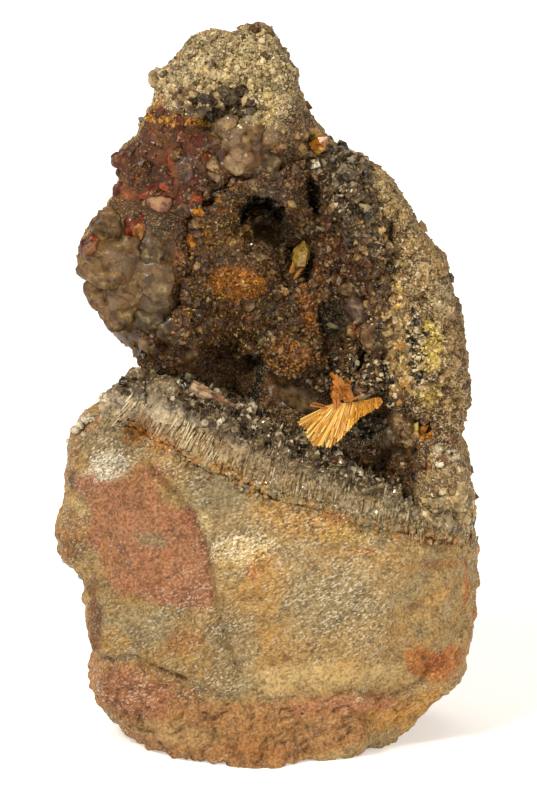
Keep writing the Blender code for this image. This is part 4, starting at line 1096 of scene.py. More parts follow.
def colourComb(comb):
    points = pointsOf(comb)
    pixels = onPicture(points)
    ragged = grainAt(points, 1.2, 22, 2)
    along, own = valuesOf(comb, "along"), valuesOf(comb, "own")
    share = combShare(points) + 0.1 * ragged
    kind = np.floor(own)  # 0 crystals, 1 smoky lumps, 2 grains of the contact, 3 white crystals, 4 skirt
    own = own - kind
    glassy = np.maximum(ease(0.4, 0.66, share) * (kind < 2), kind == 1)
    stained = ease(0.12, -0.08, share) * ease(112.0, 132.0, pixels[:, 0])
    tone = paintLayers(np.tile(linear("milk"), (len(points), 1)), [
        (ease(0.3, 0.6, own) * 0.65, "pearl"),
        (ease(0.78, 0.95, own) * 0.7, "frost"),
        (ease(0.25, 0.08, own) * 0.7, "smoke"),
        (stained * (kind < 3) * 0.7, "tan"),
        (glassy * ease(0.92, 0.8, own) * 0.9, "smoke"),
        ((kind == 1) * ease(0.3, 0.4, own) * 0.8, "haze"),
        ((kind == 0) * glassy * ease(0.6, 0.62, own) * ease(0.8, 0.78, own) * 0.8, "haze"),
        ((kind == 1) * ease(0.84, 0.88, own) * 0.8, "frost"),
        (glassy * ease(0.45, 0.3, own) * 0.9, "shadow"),
        ((kind == 2) * 0.8, "khaki"),
        ((kind == 2) * ease(0.6, 0.5, own) * (pixels[:, 0] > 122) * 0.7, "honey"),
    ])
    tone = paintPatches(tone, pixels, ragged, 1.0, combQuartz["patches"]) * combQuartz["warmth"]
    tone = paint(tone, (kind == 3) * 0.75, "frost")
    # darker at each crystal's foot and lighter at its end: painted shade and painted light
    setColour(comb, tone * (0.8 + 0.35 * np.clip(along, 0.0, 1.0))[:, None])


def makeComb():
    rng = np.random.default_rng(31)
    body = combBody()
    bm = startBed(body)
    plantComb(bm, body, rng)
    bpy.data.objects.remove(body)
    for plantPart in (plantLumps, plantBlocks, plantSeam, plantFur, plantSkirt):
        plantPart(bm, rng)
    comb = objectOf("combQuartz", bm)
    colourComb(comb)
    fit(comb, "comb_quartz", crystalFinish(
        "combCrystal", 0.16, 0.35, "pearl", Roughness=0.3, IOR=1.54, Specular_IOR_Level=0.35,
        Transmission_Weight=0.2,
    ))


makeComb()


# Vug crust: the glittering brown lining, one crust of thousands of small crystals

vugCrust = {
    "voxel": 0.2, "relax": 1,
    "grains": 7600, "shards": 700, "stubs": 330,
    "shardColours": ((0.0, "black"), (0.2, "smoke"), (0.38, "oxblood"), (0.54, "olive"), (0.68, "umber"),
                     (0.84, "slate")),
    "golden": [(222, 226, 30, 24, 0), (181, 280, 14, 8, 0), (232, 300, 40, 16, 0), (222, 330, 30, 18, 0)],
    "smoky": [(372, 270, 26, 100, -8), (280, 232, 22, 26, 0), (345, 395, 50, 26, 0), (330, 200, 24, 40, 0)],
    "overlay": {
        "orange heap": (236, 284, 27, 15, 8, "orange", 0.9),
        "orange top of the ridge": (306, 300, 6, 24, -8, "orange", 0.5),
        "olive left": (228, 240, 20, 10, 20, "olive", 0.3),
        "dark middle": (268, 318, 14, 22, 10, "shadow", 0.5),
        "dark left": (206, 300, 10, 14, 0, "shadow", 0.4),
        "red wall": (338, 256, 22, 16, 30, "oxblood", 0.6),
        "red by the slot": (300, 176, 8, 26, -10, "oxblood", 0.5),
        "violet wall": (262, 180, 26, 10, 0, "violet", 0.5),
    },
    "patches": {
        "below the hole": (272, 238, 20, 20, 0, "shadow", 0.8),
        "gold": (218, 228, 34, 24, 0, "ochre", 0.6),
        "orange grains": (238, 282, 30, 17, 0, "orange", 0.8),
        "rusty grains": (236, 312, 32, 16, 0, "rust", 0.45),
        "rusty left": (222, 330, 14, 10, 0, "rust", 0.4),
        "violet above": (220, 258, 14, 8, 0, "violet", 0.6),
        "grey below": (262, 345, 10, 14, 0, "smoke", 0.5),
        "green grains": (262, 322, 12, 24, 0, "yellow", 0.3),
        "orange ridge": (308, 306, 9, 28, -6, "rust", 0.7),
        "orange rim": (298, 268, 8, 8, 0, "orange", 0.5),
        "red mound": (290, 356, 25, 20, 0, "rust", 0.45),
        "red middle": (290, 350, 12, 9, 0, "violet", 0.6),
        "smooth lump": (306, 393, 26, 22, 0, "smoke", 0.9),
        # black in the recess: painted shade
        "recess": (247, 382, 17, 24, 0, "black", 0.9),
        "pit": (330, 318, 14, 16, 0, "shadow", 0.9),
        "granular red": (338, 262, 26, 20, 30, "oxblood", 0.5),
        "spark": (356, 329, 5, 5, 0, "orange", 0.9),
        "granular wall": (345, 252, 36, 34, 0, "umber", 0.6),
        "smoky wall": (374, 345, 24, 46, 0, "smoke", 0.7),
        "left foot": (200, 345, 26, 36, 0, "brown", 0.5),
        "sliver": (257, 257, 16, 5, 12, "grey", 0.8),
        "smoky strip": (354, 208, 15, 56, -26, "smoke", 0.8),
        "top of the strip": (348, 168, 24, 12, 20, "smoke", 0.8),
    },
}


def crustSheet():
    sheet = fineCopy("vug_crust", "crustSheet", vugCrust["voxel"], vugCrust["relax"])
    points, normals = pointsOf(sheet), normalsOf(sheet)
    cells = cobblesAt(points, 0.9, 31)[0]
    height = (cells - 0.6) * 0.25 + 0.15 * grainAt(points, 0.6, 32, 2) + 0.5 * grainAt(points, 2.2, 36, 2)
    back = 0.45 + 0.9 * hollowAt(onPicture(points))  # the hollows go deeper
    movePoints(sheet, points + normals * height[:, None] + np.array([0.0, 1.0, 0.0]) * back[:, None])
    return sheet


def plantCrust(bm, sheet, rng):
    def seen(centres, facing):
        return ease(-0.2, 0.3, -facing[:, 1]) * (1.0 - 0.9 * hollowAt(onPicture(centres)))

    def inSmoky(centres, facing):
        return zoneAt(onPicture(centres), 0.0, vugCrust["smoky"]) * seen(centres, facing)

    for kind, form, count, least, most, weightOf in (
            (0.0, "grain", vugCrust["grains"], 0.04, 0.14, seen),
            (2.0, "shard", vugCrust["shards"], 0.12, 0.44, seen),
            (1.0, "stub", vugCrust["stubs"], 0.12, 0.36, inSmoky)):
        for spot, facing in zip(*spreadOver(sheet, count, rng, weightOf)):
            if not isBuried(spot, facing, (nodeSkins["vein_rock"],)):
                wide = least + (most - least) * rng.random() ** 2
                long = wide * (0.8 if kind == 2.0 else rng.uniform(2.0, 3.4))
                aim = tipped(facing, 0.45, rng)
                plant(bm, forms[form], spot - aim * long * (0.0 if kind == 2.0 else 0.35), aim, wide, long,
                      anyTurn(rng), kind + 0.99 * rng.random(), 0.8)


def colourCrust(crust):
    points = pointsOf(crust)
    pixels = onPicture(points)
    ragged = grainAt(points, 1.0, 33, 3)
    tone = np.tile(linear("brown"), (len(points), 1))
    tone = paintPatches(tone, pixels, ragged, 1.0, vugCrust["patches"])
    blotches, ridgeShading = grainAt(points, 1.1, 37, 3), grainAt(points, 2.2, 36, 2)
    tone = paintLayers(tone, [
        (ease(0.2, 0.9, -grainAt(points, 0.8, 35, 2)) * 0.6, "shadow"),
        (ease(0.1, 0.6, blotches) * 0.5, "oxblood"), (ease(0.1, 0.6, -blotches) * 0.4, "smoke"),
        # the ridges a little ochre as painted light, the ground between them dark as painted shade
        (ease(0.1, 0.6, ridgeShading) * 0.2, "ochre"), (ease(0.1, 0.6, -ridgeShading) * 0.65, "shadow"),
    ])
    tone = paintPatches(tone, pixels, ragged, 1.0, vugCrust["overlay"])
    own = valuesOf(crust, "own")
    kind = np.floor(own)  # 0 grains, 1 smoky crystals, 2 shards
    own = own - kind
    left = ease(330.0, 300.0, pixels[:, 0])
    golden = zoneAt(pixels, ragged, vugCrust["golden"])
    tone = paintLayers(tone, [
        # yellow and straw grains: the druse's gold, brightened as painted glints
        ((kind == 0) * ease(0.7, 0.8, own) * (0.1 + 0.25 * left + 0.6 * golden), "yellow"),
        ((kind == 0) * ease(0.88, 0.92, own) * 0.8 * golden, "straw"),
        ((kind == 0) * ease(0.3, 0.1, own) * 0.5, "umber"),
        ((kind == 1) * 0.6, "smoke"),
        ((kind == 1) * ease(0.5, 0.2, own) * 0.7, "black"),
        ((kind == 1) * ease(0.9, 0.94, own) * 0.5, "milk"),
    ])
    tone = paintLayers(tone, [
        ((kind == 2) * (own > least) * (own < least + 0.16) * 0.6, name)
        for least, name in vugCrust["shardColours"]
    ])
    tone = tone * (0.7 + 0.6 * own)[:, None]
    # the hollows painted dark: painted shade
    setColour(crust, paintFields(tone, pixels, ragged, 1.0, hollowShadeFields), 1.0 - hollowAt(pixels))


def makeCrust():
    sheet = crustSheet()
    bm = startBed(sheet)
    plantCrust(bm, sheet, np.random.default_rng(47))
    skin = skinOf(sheet)
    bpy.data.objects.remove(sheet)
    crust = objectOf("vugCrust", bm)
    colourCrust(crust)
    fit(crust, "vug_crust", crystalFinish(
        "druse", 0.1, 0.45, "sand", Roughness=0.4, IOR=1.54, Specular_IOR_Level=0.3, Transmission_Weight=0.1,
    ))
    return skin


crustSkin = makeCrust()


# Crystals on the vein rock, each kind strewn over its own places in the picture

strewn = {  # places, count, half width from and to, length in widths, colours, how far they lean, form
    "capGrains": ([(226, 76, 84, 52, 0)], 1700, 0.04, 0.12, 2.0, ("sand", "pearl", "cream", "khaki"), 0.5,
                  "grain"),
    "capStones": ([(226, 70, 80, 46, 0)], 260, 0.1, 0.34, 0.8, ("khaki", "pearl", "smoke", "cream"), 0.5,
                  "shard"),
    "pocket": ([(226, 104, 30, 13, 6)], 150, 0.16, 0.5, 1.2, ("shadow", "smoke", "slate", "milk"), 0.6,
               "shard"),
    "ochreBand": ([(180, 121, 35, 4, 4), (151, 109, 5, 13, 15)], 170, 0.06, 0.2, 0.9,
                  ("ochre", "yellow", "honey", "ochre"), 0.6, "shard"),
    "paleSeam": ([(209, 97, 20, 3, -42), (266, 112, 4, 18, 8)], 60, 0.08, 0.2, 1.0,
                 ("straw", "cream", "pearl", "straw"), 0.6, "shard"),
    "step": ([(212, 204, 18, 6, -52), (197, 228, 7, 22, 0)], 110, 0.18, 0.5, 0.8,
             ("brown", "umber", "smoke", "ochre"), 0.5, "chunk"),
    "capFoot": ([(184, 94, 12, 10, 0)], 24, 0.2, 0.36, 1.2, ("grey", "milk", "smoke", "violet"), 0.35,
                "shard"),
    "redStones": ([(172, 160, 44, 46, 0), (175, 205, 40, 16, 0)], 170, 0.16, 0.55, 0.8,
                  ("oxblood", "umber", "oxblood", "brown"), 0.5, "chunk"),
    "redSparks": ([(172, 165, 44, 46, 0)], 70, 0.05, 0.12, 1.6, ("ember", "rust", "umber", "oxblood"), 0.5,
                  "grain"),
    "orangeGrains": ([(238, 284, 28, 16, 8)], 420, 0.05, 0.12, 2.0, ("orange", "orange", "rust", "gold"), 0.5,
                     "grain"),
    # gold grains, bright as painted glints
    "goldGrains": ([(222, 222, 26, 26, 0), (181, 280, 10, 6, 0)], 130, 0.05, 0.11, 1.6,
                   ("yellow", "straw", "honey", "yellow"), 0.6, "grain"),
    "smokyStrip": ([(350, 204, 15, 56, -26), (345, 165, 26, 16, 20)], 560, 0.16, 0.5, 1.1,
                   ("shadow", "smoke", "moss", "haze"), 0.6, "shard"),
    # white shards among the dark ones: painted glints
    "glitter": ([(342, 194, 11, 22, -20), (325, 160, 14, 10, 0)], 380, 0.06, 0.26, 1.4,
                ("frost", "pearl", "black", "frost"), 0.5, "shard"),
    "belowWing": ([(368, 426, 20, 12, -20)], 90, 0.1, 0.3, 1.2, ("shadow", "black", "moss", "slate"), 0.6,
                  "shard"),
    "slope": ([(392, 462, 34, 22, 15), (350, 456, 40, 7, 14)], 260, 0.12, 0.42, 0.9,
              ("brown", "umber", "smoke", "shadow"), 0.6, "shard"),
    "combFoot": ([(448, 510, 28, 16, 12)], 320, 0.12, 0.44, 1.0, ("milk", "sand", "khaki", "pearl"), 0.6,
                 "shard"),
    "ridge": ([(308, 312, 7, 32, -14), (288, 356, 22, 16, 0)], 420, 0.04, 0.12, 2.0,
              ("rust", "orange", "oxblood", "rust"), 0.6, "grain"),
    "wallDruse": ([(430, 350, 26, 80, -6), (400, 240, 30, 60, -20)], 860, 0.04, 0.13, 2.2,
                  ("sand", "grey", "pearl", "tan"), 0.5, "grain"),
    "wallStones": ([(430, 340, 28, 90, -6), (400, 240, 32, 62, -20)], 120, 0.16, 0.5, 0.5,
                   ("tan", "grey", "milk", "tan"), 0.4, "chunk"),
    "wallEdge": ([(390, 300, 9, 56, -6), (398, 372, 9, 34, 0), (376, 240, 9, 30, -30)], 170, 0.16, 0.5, 0.7,
                 ("sand", "tan", "honey", "grey"), 0.5, "chunk"),
    "yellowDruse": ([(431, 345, 12, 28, 0), (431, 394, 12, 8, -8)], 260, 0.06, 0.16, 1.4,
                    ("sulphur", "straw", "cream", "yellow"), 0.5, "shard"),
    "speckles": ([(417, 345, 9, 40, -4), (388, 384, 10, 24, -8), (352, 372, 30, 26, 0)], 760, 0.07, 0.24, 1.2,
                 ("black", "pearl", "shadow", "slate"), 0.5, "shard"),
    "creamSeam": ([(404, 345, 6, 46, -4), (398, 300, 6, 30, -14)], 130, 0.06, 0.2, 1.0,
                  ("cream", "straw", "pearl", "sand"), 0.5, "shard"),
    "lowStones": ([(400, 438, 16, 18, 0)], 26, 0.3, 0.6, 1.0, ("grey", "smoke", "olive", "lichen"), 0.4,
                  "lump"),
    "orangeStones": ([(421, 431, 11, 7, 0)], 24, 0.14, 0.3, 1.2, ("ochre", "orange", "yellow", "ochre"), 0.5,
                     "shard"),
    "footQuartz": ([(454, 490, 22, 28, 0), (444, 457, 14, 10, 0)], 130, 0.1, 0.3, 0.9,
                   ("milk", "sand", "pearl", "grey"), 0.5, "shard"),
    "footSpark": ([(445, 457, 14, 8, 0)], 70, 0.08, 0.26, 1.1, ("white", "pearl", "frost", "grey"), 0.6,
                  "shard"),
    "vugRim": ([(192, 265, 16, 70, 0), (196, 345, 34, 30, 0), (160, 350, 30, 14, 20),
                (215, 192, 34, 14, -20)],
               800, 0.05, 0.13, 2.2, ("brown", "umber", "ochre", "oxblood"), 0.5, "grain"),
    "rimStones": ([(192, 265, 14, 70, 0), (196, 350, 34, 26, 0), (160, 345, 30, 14, 20),
                   (240, 186, 50, 10, -5)],
                  240, 0.16, 0.46, 0.8, ("brown", "smoke", "umber", "violet"), 0.5, "chunk"),
    "shoulderStones": ([(303, 132, 20, 10, 10), (318, 120, 10, 16, 10), (296, 150, 24, 18, 20)], 70, 0.16,
                       0.4, 0.9,
                       ("brown", "grey", "tan", "smoke"), 0.4, "shard"),
}
stones = {  # glassy lumps: place, half width and half height in pixels, turn and colour
    "oval": (137, 227, 12, 15, 0, "red"), "middle of the oval": (139, 231, 6, 8, 0, "rust"),
    "ring": (92, 248, 11, 12, 0, "red"), "ring's middle": (91, 250, 8, 9, 0, "clay"),
    "lobe top": (108, 226, 17, 16, -20, "lichen"), "lobe left": (106, 272, 27, 15, 12, "lichen"),
    "lobe middle": (128, 292, 20, 14, -10, "lichen"), "lobe right": (158, 282, 19, 18, 0, "grey"),
    "lobe low": (120, 314, 19, 17, 30, "lichen"), "lobe back": (150, 258, 16, 13, 30, "smoke"),
    "lobe upper": (128, 252, 16, 15, 0, "lichen"), "lobe rim": (96, 294, 10, 19, -25, "lichen"),
    "lobe corner": (150, 316, 18, 15, 0, "smoke"), "lobe foot": (172, 330, 16, 13, 0, "smoke"),
    "left foot": (148, 342, 9, 10, 0, "grey"), "foot": (184, 352, 18, 12, 0, "brown"),
    # the pit's umber lump: painted shade
    "pit": (116, 319, 3, 4, 0, "umber"), "second pit": (156, 283, 3, 3, 0, "oxblood"),
    "pink lump": (161, 204, 13, 7, 10, "blush"), "red rim": (150, 195, 10, 4, -10, "ember"),
    "red bar": (191, 199, 12, 5, 14, "ember"), "red one": (198, 142, 7, 5, 20, "red"),
    "red tall": (173, 163, 5, 12, -5, "ember"), "red left": (124, 160, 12, 10, 0, "oxblood"),
    "red edge": (119, 192, 6, 10, 0, "oxblood"), "red low": (166, 186, 6, 5, 0, "ember"),
    "red upper": (165, 112, 6, 5, 0, "oxblood"), "ring red": (277, 148, 5, 5, 0, "red"),
    "grey between": (208, 158, 7, 16, -20, "smoke"), "violet": (186, 170, 10, 13, 0, "violet"),
    "pink quartz": (214, 168, 7, 13, -16, "grey"), "quartz one": (229, 128, 13, 12, 0, "grey"),
    "quartz two": (253, 134, 13, 11, 20, "lichen"), "quartz three": (240, 144, 17, 10, 0, "lichen"),
    "quartz four": (237, 163, 12, 11, 0, "grey"), "quartz five": (262, 168, 20, 18, 30, "smoke"),
    "knob": (158, 78, 9, 10, 0, "milk"), "second knob": (154, 90, 8, 9, 0, "grey"),
    "smooth lump": (306, 392, 25, 20, 0, "grey"), "slab": (356, 290, 18, 8, 5, "lichen"),
    "pale sliver": (257, 256, 15, 3, 12, "grey"), "green sliver": (333, 324, 12, 4, 25, "haze"),
    "spark": (356, 330, 5, 4, 0, "ember"), "white spark": (337, 295, 3, 3, 0, "pearl"),
    "right lump": (364, 310, 18, 13, 20, "violet"), "right lump low": (374, 336, 12, 14, 0, "brown"),
    "corner fill": (413, 430, 11, 12, 0, "haze"), "foot two": (440, 480, 13, 11, 20, "milk"),
    "foot three": (457, 494, 14, 12, 0, "milk"), "foot four": (436, 505, 13, 10, 0, "khaki"),
    "foot five": (461, 517, 12, 10, 0, "milk"), "foot six": (444, 524, 12, 9, 0, "khaki"),
    "corner lump": (396, 438, 12, 15, 0, "haze"), "corner low": (408, 462, 11, 9, 0, "lichen"),
}


backCount = 1100
backColours = ("olive", "brown", "milk", "tan", "smoke")


def strewCrystals(bm, skins, colourOf, rng):
    rows, columns = np.mgrid[0:camera["height"], 0:camera["width"]]
    everyPixel = np.stack([columns.ravel(), rows.ravel()], axis=1).astype(float)
    openings = hollowAt(everyPixel).reshape(rows.shape) > 0.5
    for zones, count, least, most, slender, colours, lean, form in strewn.values():
        sizes = np.array([zone[2] * zone[3] for zone in zones], dtype=float)
        for pick in rng.choice(len(zones), size=count, p=sizes / sizes.sum()):
            x, y, wide, high, turn = zones[pick]
            reach, angle = math.sqrt(rng.random()), anyTurn(rng)
            dx, dy = wide * reach * math.cos(angle), high * reach * math.sin(angle)
            lay = math.radians(turn)
            x, y = x + dx * math.cos(lay) - dy * math.sin(lay), y + dx * math.sin(lay) + dy * math.cos(lay)
            spot, facing = nearestHit(skins, x, y)
            choice, spin = rng.integers(4), anyTurn(rng)
            size = least + (most - least) * rng.random() ** 1.7
            if spot is None or (openings[int(y), int(x)] and colours[0] != "shadow"):
                continue
            if size > 0.16 and facing.dot(viewBack) < 0.3:  # none stands out from the outline
                continue
            aim = tipped(facing, lean, rng)
            colourOf.append(linear(colours[choice]) * rng.uniform(0.75, 1.25))
            sunk = 0.5 if slender < 1.5 else 0.8
            plant(bm, forms[form], np.array(spot) - aim * size * sunk, aim, size,
                  size * slender * rng.uniform(0.8, 1.2), spin, float(len(colourOf) - 1))


def setStones(bm, skins, colourOf):
    for name, (x, y, wide, high, turn, colour) in stones.items():
        spot, facing = nearestHit(skins, x, y)
        if spot is not None:
            proud = 0.25 if "middle" in name and name != "lobe middle" else 0.0  # one stone inside another
            colourOf.append(linear(colour))
            wide, high = wide * pixelSize, high * pixelSize
            flat = min(wide, high) * 0.5
            spin = Matrix.Rotation(math.radians(turn), 3, "Y")
            sized = (forms["lump"]["points"] * np.array([wide, flat, high])) @ np.array(spin).T
            settle(bm, forms["lump"], sized + np.array(spot) + (0.0, flat * 0.55 - proud, 0.0),
                   float(len(colourOf) - 1))


def strewBack(bm, colourOf, rng):
    def behind(centres, facing):
        return ease(-0.1, 0.4, facing[:, 1])

    for spot, facing in zip(*spreadOver(veinPiece, backCount, rng, behind)):
        size = 0.1 + 0.4 * rng.random() ** 2
        colourOf.append(linear(backColours[rng.integers(5)]) * rng.uniform(0.75, 1.25))
        plant(bm, forms["shard"], spot - facing * size * 0.3, tipped(facing, 0.5, rng), size, size * 0.8,
              anyTurn(rng), float(len(colourOf) - 1))


def makeVeinCrystals():
    rng = np.random.default_rng(53)
    skins = (skinOf(veinPiece), crustSkin, nodeSkins["comb_quartz"])
    bm, lumps = startBed(None), startBed(None)
    colourOf = []  # each crystal's own number is its place in this list
    strewCrystals(bm, skins, colourOf, rng)
    setStones(lumps, skins, colourOf)
    strewBack(bm, colourOf, rng)
    for piece, glint, shine, grime, fine, tip, dullness in (
            (objectOf("veinCrystals", bm), 0.06, 0.3, 0.35, 6.0, 0.8, 0.28),
            (objectOf("glassyLumps", lumps), 0.1, 0.04, 0.55, 1.6, 0.15, 0.42)):
        setColour(piece, np.array(colourOf)[valuesOf(piece, "own").astype(int)])
        fit(piece, None, crystalFinish(
            piece.name + "Quartz", glint, shine, "pearl", grime, fine, tip, Roughness=dullness, IOR=1.54,
            Specular_IOR_Level=0.22, Transmission_Weight=0.15,
        ))


makeVeinCrystals()


# Walpurgite: a sheaf of golden laths that spread from a red-brown heart

sheaf = {
    "laths": 150, "layers": 3, "overlying": 60, "footDepth": -4.75, "endDepth": -5.6,
    # where the laths start and end, from the left tip round to the tip of the wing
    "starts": [(328, 406), (334, 404), (340, 403), (345, 403), (350, 403), (355, 402), (361, 401), (369, 400),
               (375, 398), (380, 398)],
    "ends": [(298, 421), (306, 434), (313, 444), (330, 447), (341, 438), (350, 428), (359, 418), (368, 413),
             (376, 409), (382, 403)],
    "shares": [0.0, 0.16, 0.3, 0.48, 0.6, 0.7, 0.79, 0.87, 0.94, 1.0],
    "upright": [  # foot, end and width
        ((351, 402), (331, 373), 0.3), ((352, 401), (335, 375), 0.26), ((353, 400), (339, 378), 0.3),
        ((346, 402), (334, 380), 0.3), ((354, 399), (346, 384), 0.26), ((340, 404), (333, 386), 0.24),
        ((335, 409), (334, 391), 0.3), ((338, 408), (338, 393), 0.14),
        ((327, 408), (310, 405), 0.13), ((326, 406), (313, 403), 0.07), ((346, 402), (360, 396), 0.14),
    ],
    "heart": (346, 395), "heartSize": 0.6, "heartLaths": 44,
}


def lathForm():
    bm = bmesh.new()
    bmesh.ops.create_cube(bm, size=1.0)
    bmesh.ops.translate(bm, verts=bm.verts, vec=(0.0, 0.0, 0.5))
    tall = [edge for edge in bm.edges if abs(edge.verts[0].co.z - edge.verts[1].co.z) > 0.5]
    bmesh.ops.subdivide_edges(bm, edges=tall, cuts=3)
    for vert in bm.verts:
        vert.co.x *= 0.55 + 0.45 * vert.co.z
    return formOf("lath", bm)


def spotInPlane(x, y, depth):  # where the line of sight through a pixel meets a plane of that depth
    sight = lineOfSight(x, y)
    return np.array(cameraPlace + sight * ((depth - cameraPlace.y) / sight.y))


def addLath(bm, lath, start, end, wide, thick, own, roll):
    aim = Vector(end - start).normalized()
    across = Vector(np.cross(end - start, (0.0, -1.0, 0.0))).normalized()
    spin = Matrix((across, aim.cross(across), aim)).transposed() @ Matrix.Rotation(roll, 3, "Z")
    sized = lath["points"] * np.array([wide, thick, np.linalg.norm(end - start)])
    settle(bm, lath, sized @ np.array(spin).T + start, own)


def growSheaf(bm, rng):
    lath = lathForm()
    starts, ends, shares = np.array(sheaf["starts"]), np.array(sheaf["ends"]), sheaf["shares"]
    for index in range(sheaf["laths"]):
        share = (index + rng.uniform(-0.3, 0.3)) / (sheaf["laths"] - 1)
        foot, end = [[np.interp(share, shares, line[:, axis]) for axis in (0, 1)] for line in (starts, ends)]
        layer = index % sheaf["layers"] * 0.09
        start = spotInPlane(*foot, sheaf["footDepth"] + layer)
        tip = spotInPlane(*end, sheaf["endDepth"] + layer + rng.normal(0.0, 0.05))
        tip = start + (tip - start) * (1.03 - 0.25 * rng.random() ** 2)
        addLath(bm, lath, start, tip, 0.06 + 0.13 * rng.random() ** 2, rng.uniform(0.04, 0.1), rng.random(),
                rng.normal(0.0, 0.4))
        if rng.random() * sheaf["laths"] < sheaf["overlying"]:  # a short one on top, a little askew
            low = rng.uniform(0.15, 0.7)
            high = low + rng.uniform(0.12, 0.3)
            lift = np.array([rng.normal(0.0, 0.05), -0.12, rng.normal(0.0, 0.05)])
            lower = start + (tip - start) * low + lift
            upper = start + (tip - start) * high + lift * rng.uniform(-0.5, 2.5)
            addLath(bm, lath, lower, upper, rng.uniform(0.06, 0.16), 0.06, rng.random(), rng.normal(0.0, 0.6))
    for foot, end, wide in sheaf["upright"]:
        start = spotInPlane(*foot, sheaf["footDepth"] - 0.2)
        addLath(bm, lath, start, spotInPlane(*end, sheaf["footDepth"] - 0.35), wide, 0.1,
                2.4 + 0.6 * rng.random(), rng.normal(0.0, 0.4))
    heart = spotInPlane(*sheaf["heart"], sheaf["footDepth"] - 0.1)
    for _ in range(sheaf["heartLaths"]):
        start = heart + rng.normal(0.0, 0.5, 3) * sheaf["heartSize"] * np.array([1.0, 0.5, 1.0])
        aim = tipped((-0.4, -0.3, 0.6), 0.35, rng)
        addLath(bm, lath, start, start + aim * rng.uniform(0.3, 0.7), rng.uniform(0.1, 0.26), 0.12,
                2.0 + 0.6 * rng.random(), rng.uniform(-0.6, 0.6))
    bmesh.ops.recalc_face_normals(bm, faces=bm.faces)


def colourSheaf(piece):
    own, along, x = valuesOf(piece, "own"), valuesOf(piece, "along"), pointsOf(piece)[:, 0]
    fan, heart = own < 1.5, own > 1.5
    tips = ease(0.5, 1.0, along) * ease(3.6, 2.2, x)  # the left tips are painted cream as painted highlights
    tone = paintLayers(np.tile(linear("gold"), (len(own), 1)), [
        (np.maximum(ease(0.7, 0.95, own), tips * 0.7) * fan * 0.8, "straw"),
        (ease(0.25, 0.1, own) * 0.6, "amber"),
        (ease(5.6, 6.4, x) * 0.5, "amber"),
        (heart * 0.95, "ochre"),
        (heart * ease(2.35, 2.15, own) * 0.7, "ember"),
        (heart * ease(2.6, 2.8, own) * 0.7, "amber"),
    ])
    tone = tone * np.where(heart, 0.85, 1.0)[:, None]
    setColour(piece, tone * (0.85 + 0.3 * (own % 1.0))[:, None])


def makeSheaf():
    bm = startBed(None)
    growSheaf(bm, np.random.default_rng(61))
    piece = objectOf("walpurgiteSheaf", bm)
    colourSheaf(piece)
    finish, tree, shader, spots = newFinish("walpurgite", Roughness=0.35, IOR=1.6, Specular_IOR_Level=0.25,
                                            Transmission_Weight=0.25)
    tree.links.new(attribute(tree, "tone", "Color"), shader.inputs["Base Color"])
    stripes = place(tree, "TexNoise", {"Vector": spots, "Scale": 9.0, "Detail": 2.0}).outputs["Fac"]
    bumpOf(tree, shader, stripes, 0.04, 0.6)
    fit(piece, "walpurgite_sheaf", finish)


makeSheaf()


# Yellow crystals in the vug, at its rim and at its foot, and the pale splinter on the comb

loose = {  # node: finish, slot, and crystals with foot, end, their depths, half width and colour
    "yellow_crystal_vug": ("yellowVug", "walpurgite", [
        ((300, 264), (304, 240), 0.8, 0.5, 0.64, "yellow"),
        ((297, 263), (299, 246), 0.85, 0.5, 0.44, "sulphur"),
        ((302, 268), (293, 280), 1.05, 0.55, 0.14, "orange"),
        ((291, 272), (295, 262), 1.15, 0.95, 0.2, "ochre"),
        ((300, 262), (305, 246), 0.95, 0.45, 0.2, "yellow"),
    ]),
    "yellow_crystal_rim": ("yellowRim", "walpurgite", [
        ((313, 147), (328, 137), -1.45, -2.15, 0.46, "ochre"),
        ((316, 150), (326, 145), -1.25, -2.05, 0.36, "gold"),
        ((314, 140), (322, 133), -1.25, -1.85, 0.3, "yellow"),
    ]),
    "yellow_crystal_foot": ("yellowFoot", "walpurgite", [
        ((410, 436), (418, 422), -2.85, -3.45, 0.32, "sulphur"),
        ((417, 434), (429, 425), -2.75, -3.35, 0.26, "orange"),
        ((420, 437), (430, 434), -2.75, -3.35, 0.18, "ochre"),
    ]),
    "splinter_quartz": ("splinter", "pale_quartz", [
        ((191, 385), (214, 398), -5.8, -5.7, 0.44, "pinkQuartz"),
        ((205, 390), (233, 405), -5.6, -5.6, 0.28, "blush"),
        ((196, 388), (216, 393), -5.95, -5.85, 0.2, "blush"),
    ]),
}


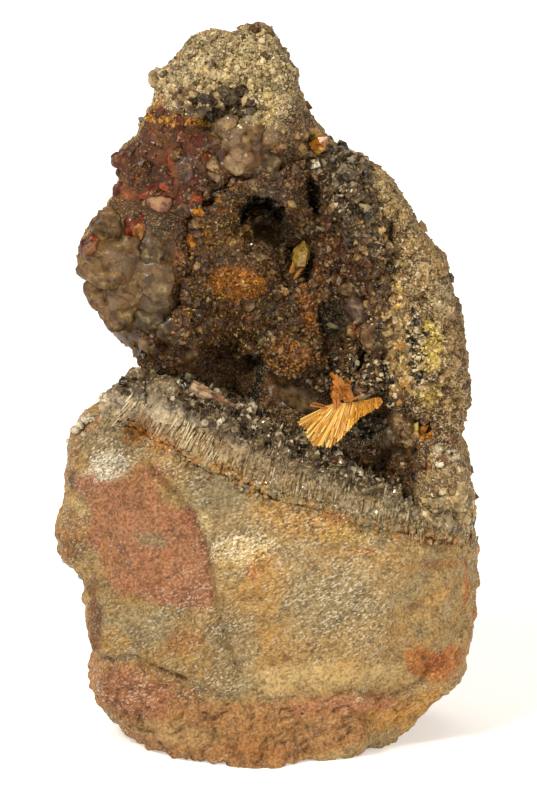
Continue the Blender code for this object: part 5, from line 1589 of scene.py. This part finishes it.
def makeLoose():
    rng = np.random.default_rng(71)
    for node, (name, slot, crystals) in loose.items():
        bm = startBed(None)
        for index, (foot, end, footDepth, endDepth, wide, _) in enumerate(crystals):
            start, tip = spotInPlane(*foot, footDepth), spotInPlane(*end, endDepth)
            plant(bm, forms["stub"], start, tip - start, wide, np.linalg.norm(tip - start), anyTurn(rng),
                  float(index), 0.8)
        piece = objectOf(name, bm)
        tones = np.array([linear(crystal[5]) for crystal in crystals])
        setColour(piece, tones[valuesOf(piece, "own").astype(int)])
        fit(piece, node, crystalFinish(
            name, 0.2, 0.2, "straw", 0.15, Roughness=0.22, IOR=1.6, Transmission_Weight=0.3,
        ))


makeLoose()


# Light, floor and background

studio = {
    "lights": {  # place in metres, size and power
        "keyLight": ((-0.26, -0.38, 0.46), 0.16, 3.2), "fillLight": ((0.45, -0.35, 0.25), 0.35, 0.8),
        "topLight": ((0.05, 0.25, 0.55), 0.30, 0.8),
    },
    "lightColour": (1.0, 0.95, 0.87), "lightAim": (0.0, -0.002, 0.024),
    "floor": (0.93, 0.915, 0.9, 1.0), "floorGlow": (1.0, 0.985, 0.97, 1.0), "floorGlowStrength": 0.42,
    "sky": (1.0, 0.96, 0.9, 1.0), "skyStrength": 0.45,
}
for name, (where, size, power) in studio["lights"].items():
    light = bpy.data.lights.new(name, "AREA")
    light.size = size
    light.energy = power
    light.color = studio["lightColour"]
    lamp = bpy.data.objects.new(name, light)
    lamp.location = where
    lamp.rotation_euler = (Vector(studio["lightAim"]) - Vector(where)).to_track_quat("-Z", "Y").to_euler()
    bpy.context.scene.collection.objects.link(lamp)

bm = bmesh.new()
bmesh.ops.create_grid(bm, x_segments=1, y_segments=1, size=3.0)
floor = objectOf("floor", bm)
paper, tree, shader, spots = newFinish("paper", Roughness=0.9, Emission_Strength=studio["floorGlowStrength"])
shader.inputs["Base Color"].default_value = studio["floor"]
shader.inputs["Emission Color"].default_value = studio["floorGlow"]
floor.data.materials.append(paper)

world = bpy.data.worlds.new("studio")
world.use_nodes = True
bpy.context.scene.world = world
tree = world.node_tree
sky = tree.nodes["Background"]
feed(tree, sky, {"Color": studio["sky"], "Strength": studio["skyStrength"]})
white = place(tree, "Background", {"Color": (1.0, 1.0, 1.0, 1.0), "Strength": 1.0})
path = tree.nodes.new("ShaderNodeLightPath")
both = place(tree, "MixShader", {0: path.outputs["Is Camera Ray"], 1: sky.outputs[0], 2: white.outputs[0]})
tree.links.new(both.outputs[0], tree.nodes["World Output"].inputs["Surface"])
bpy.context.scene.view_settings.view_transform = "Standard"
print("studio: ready")
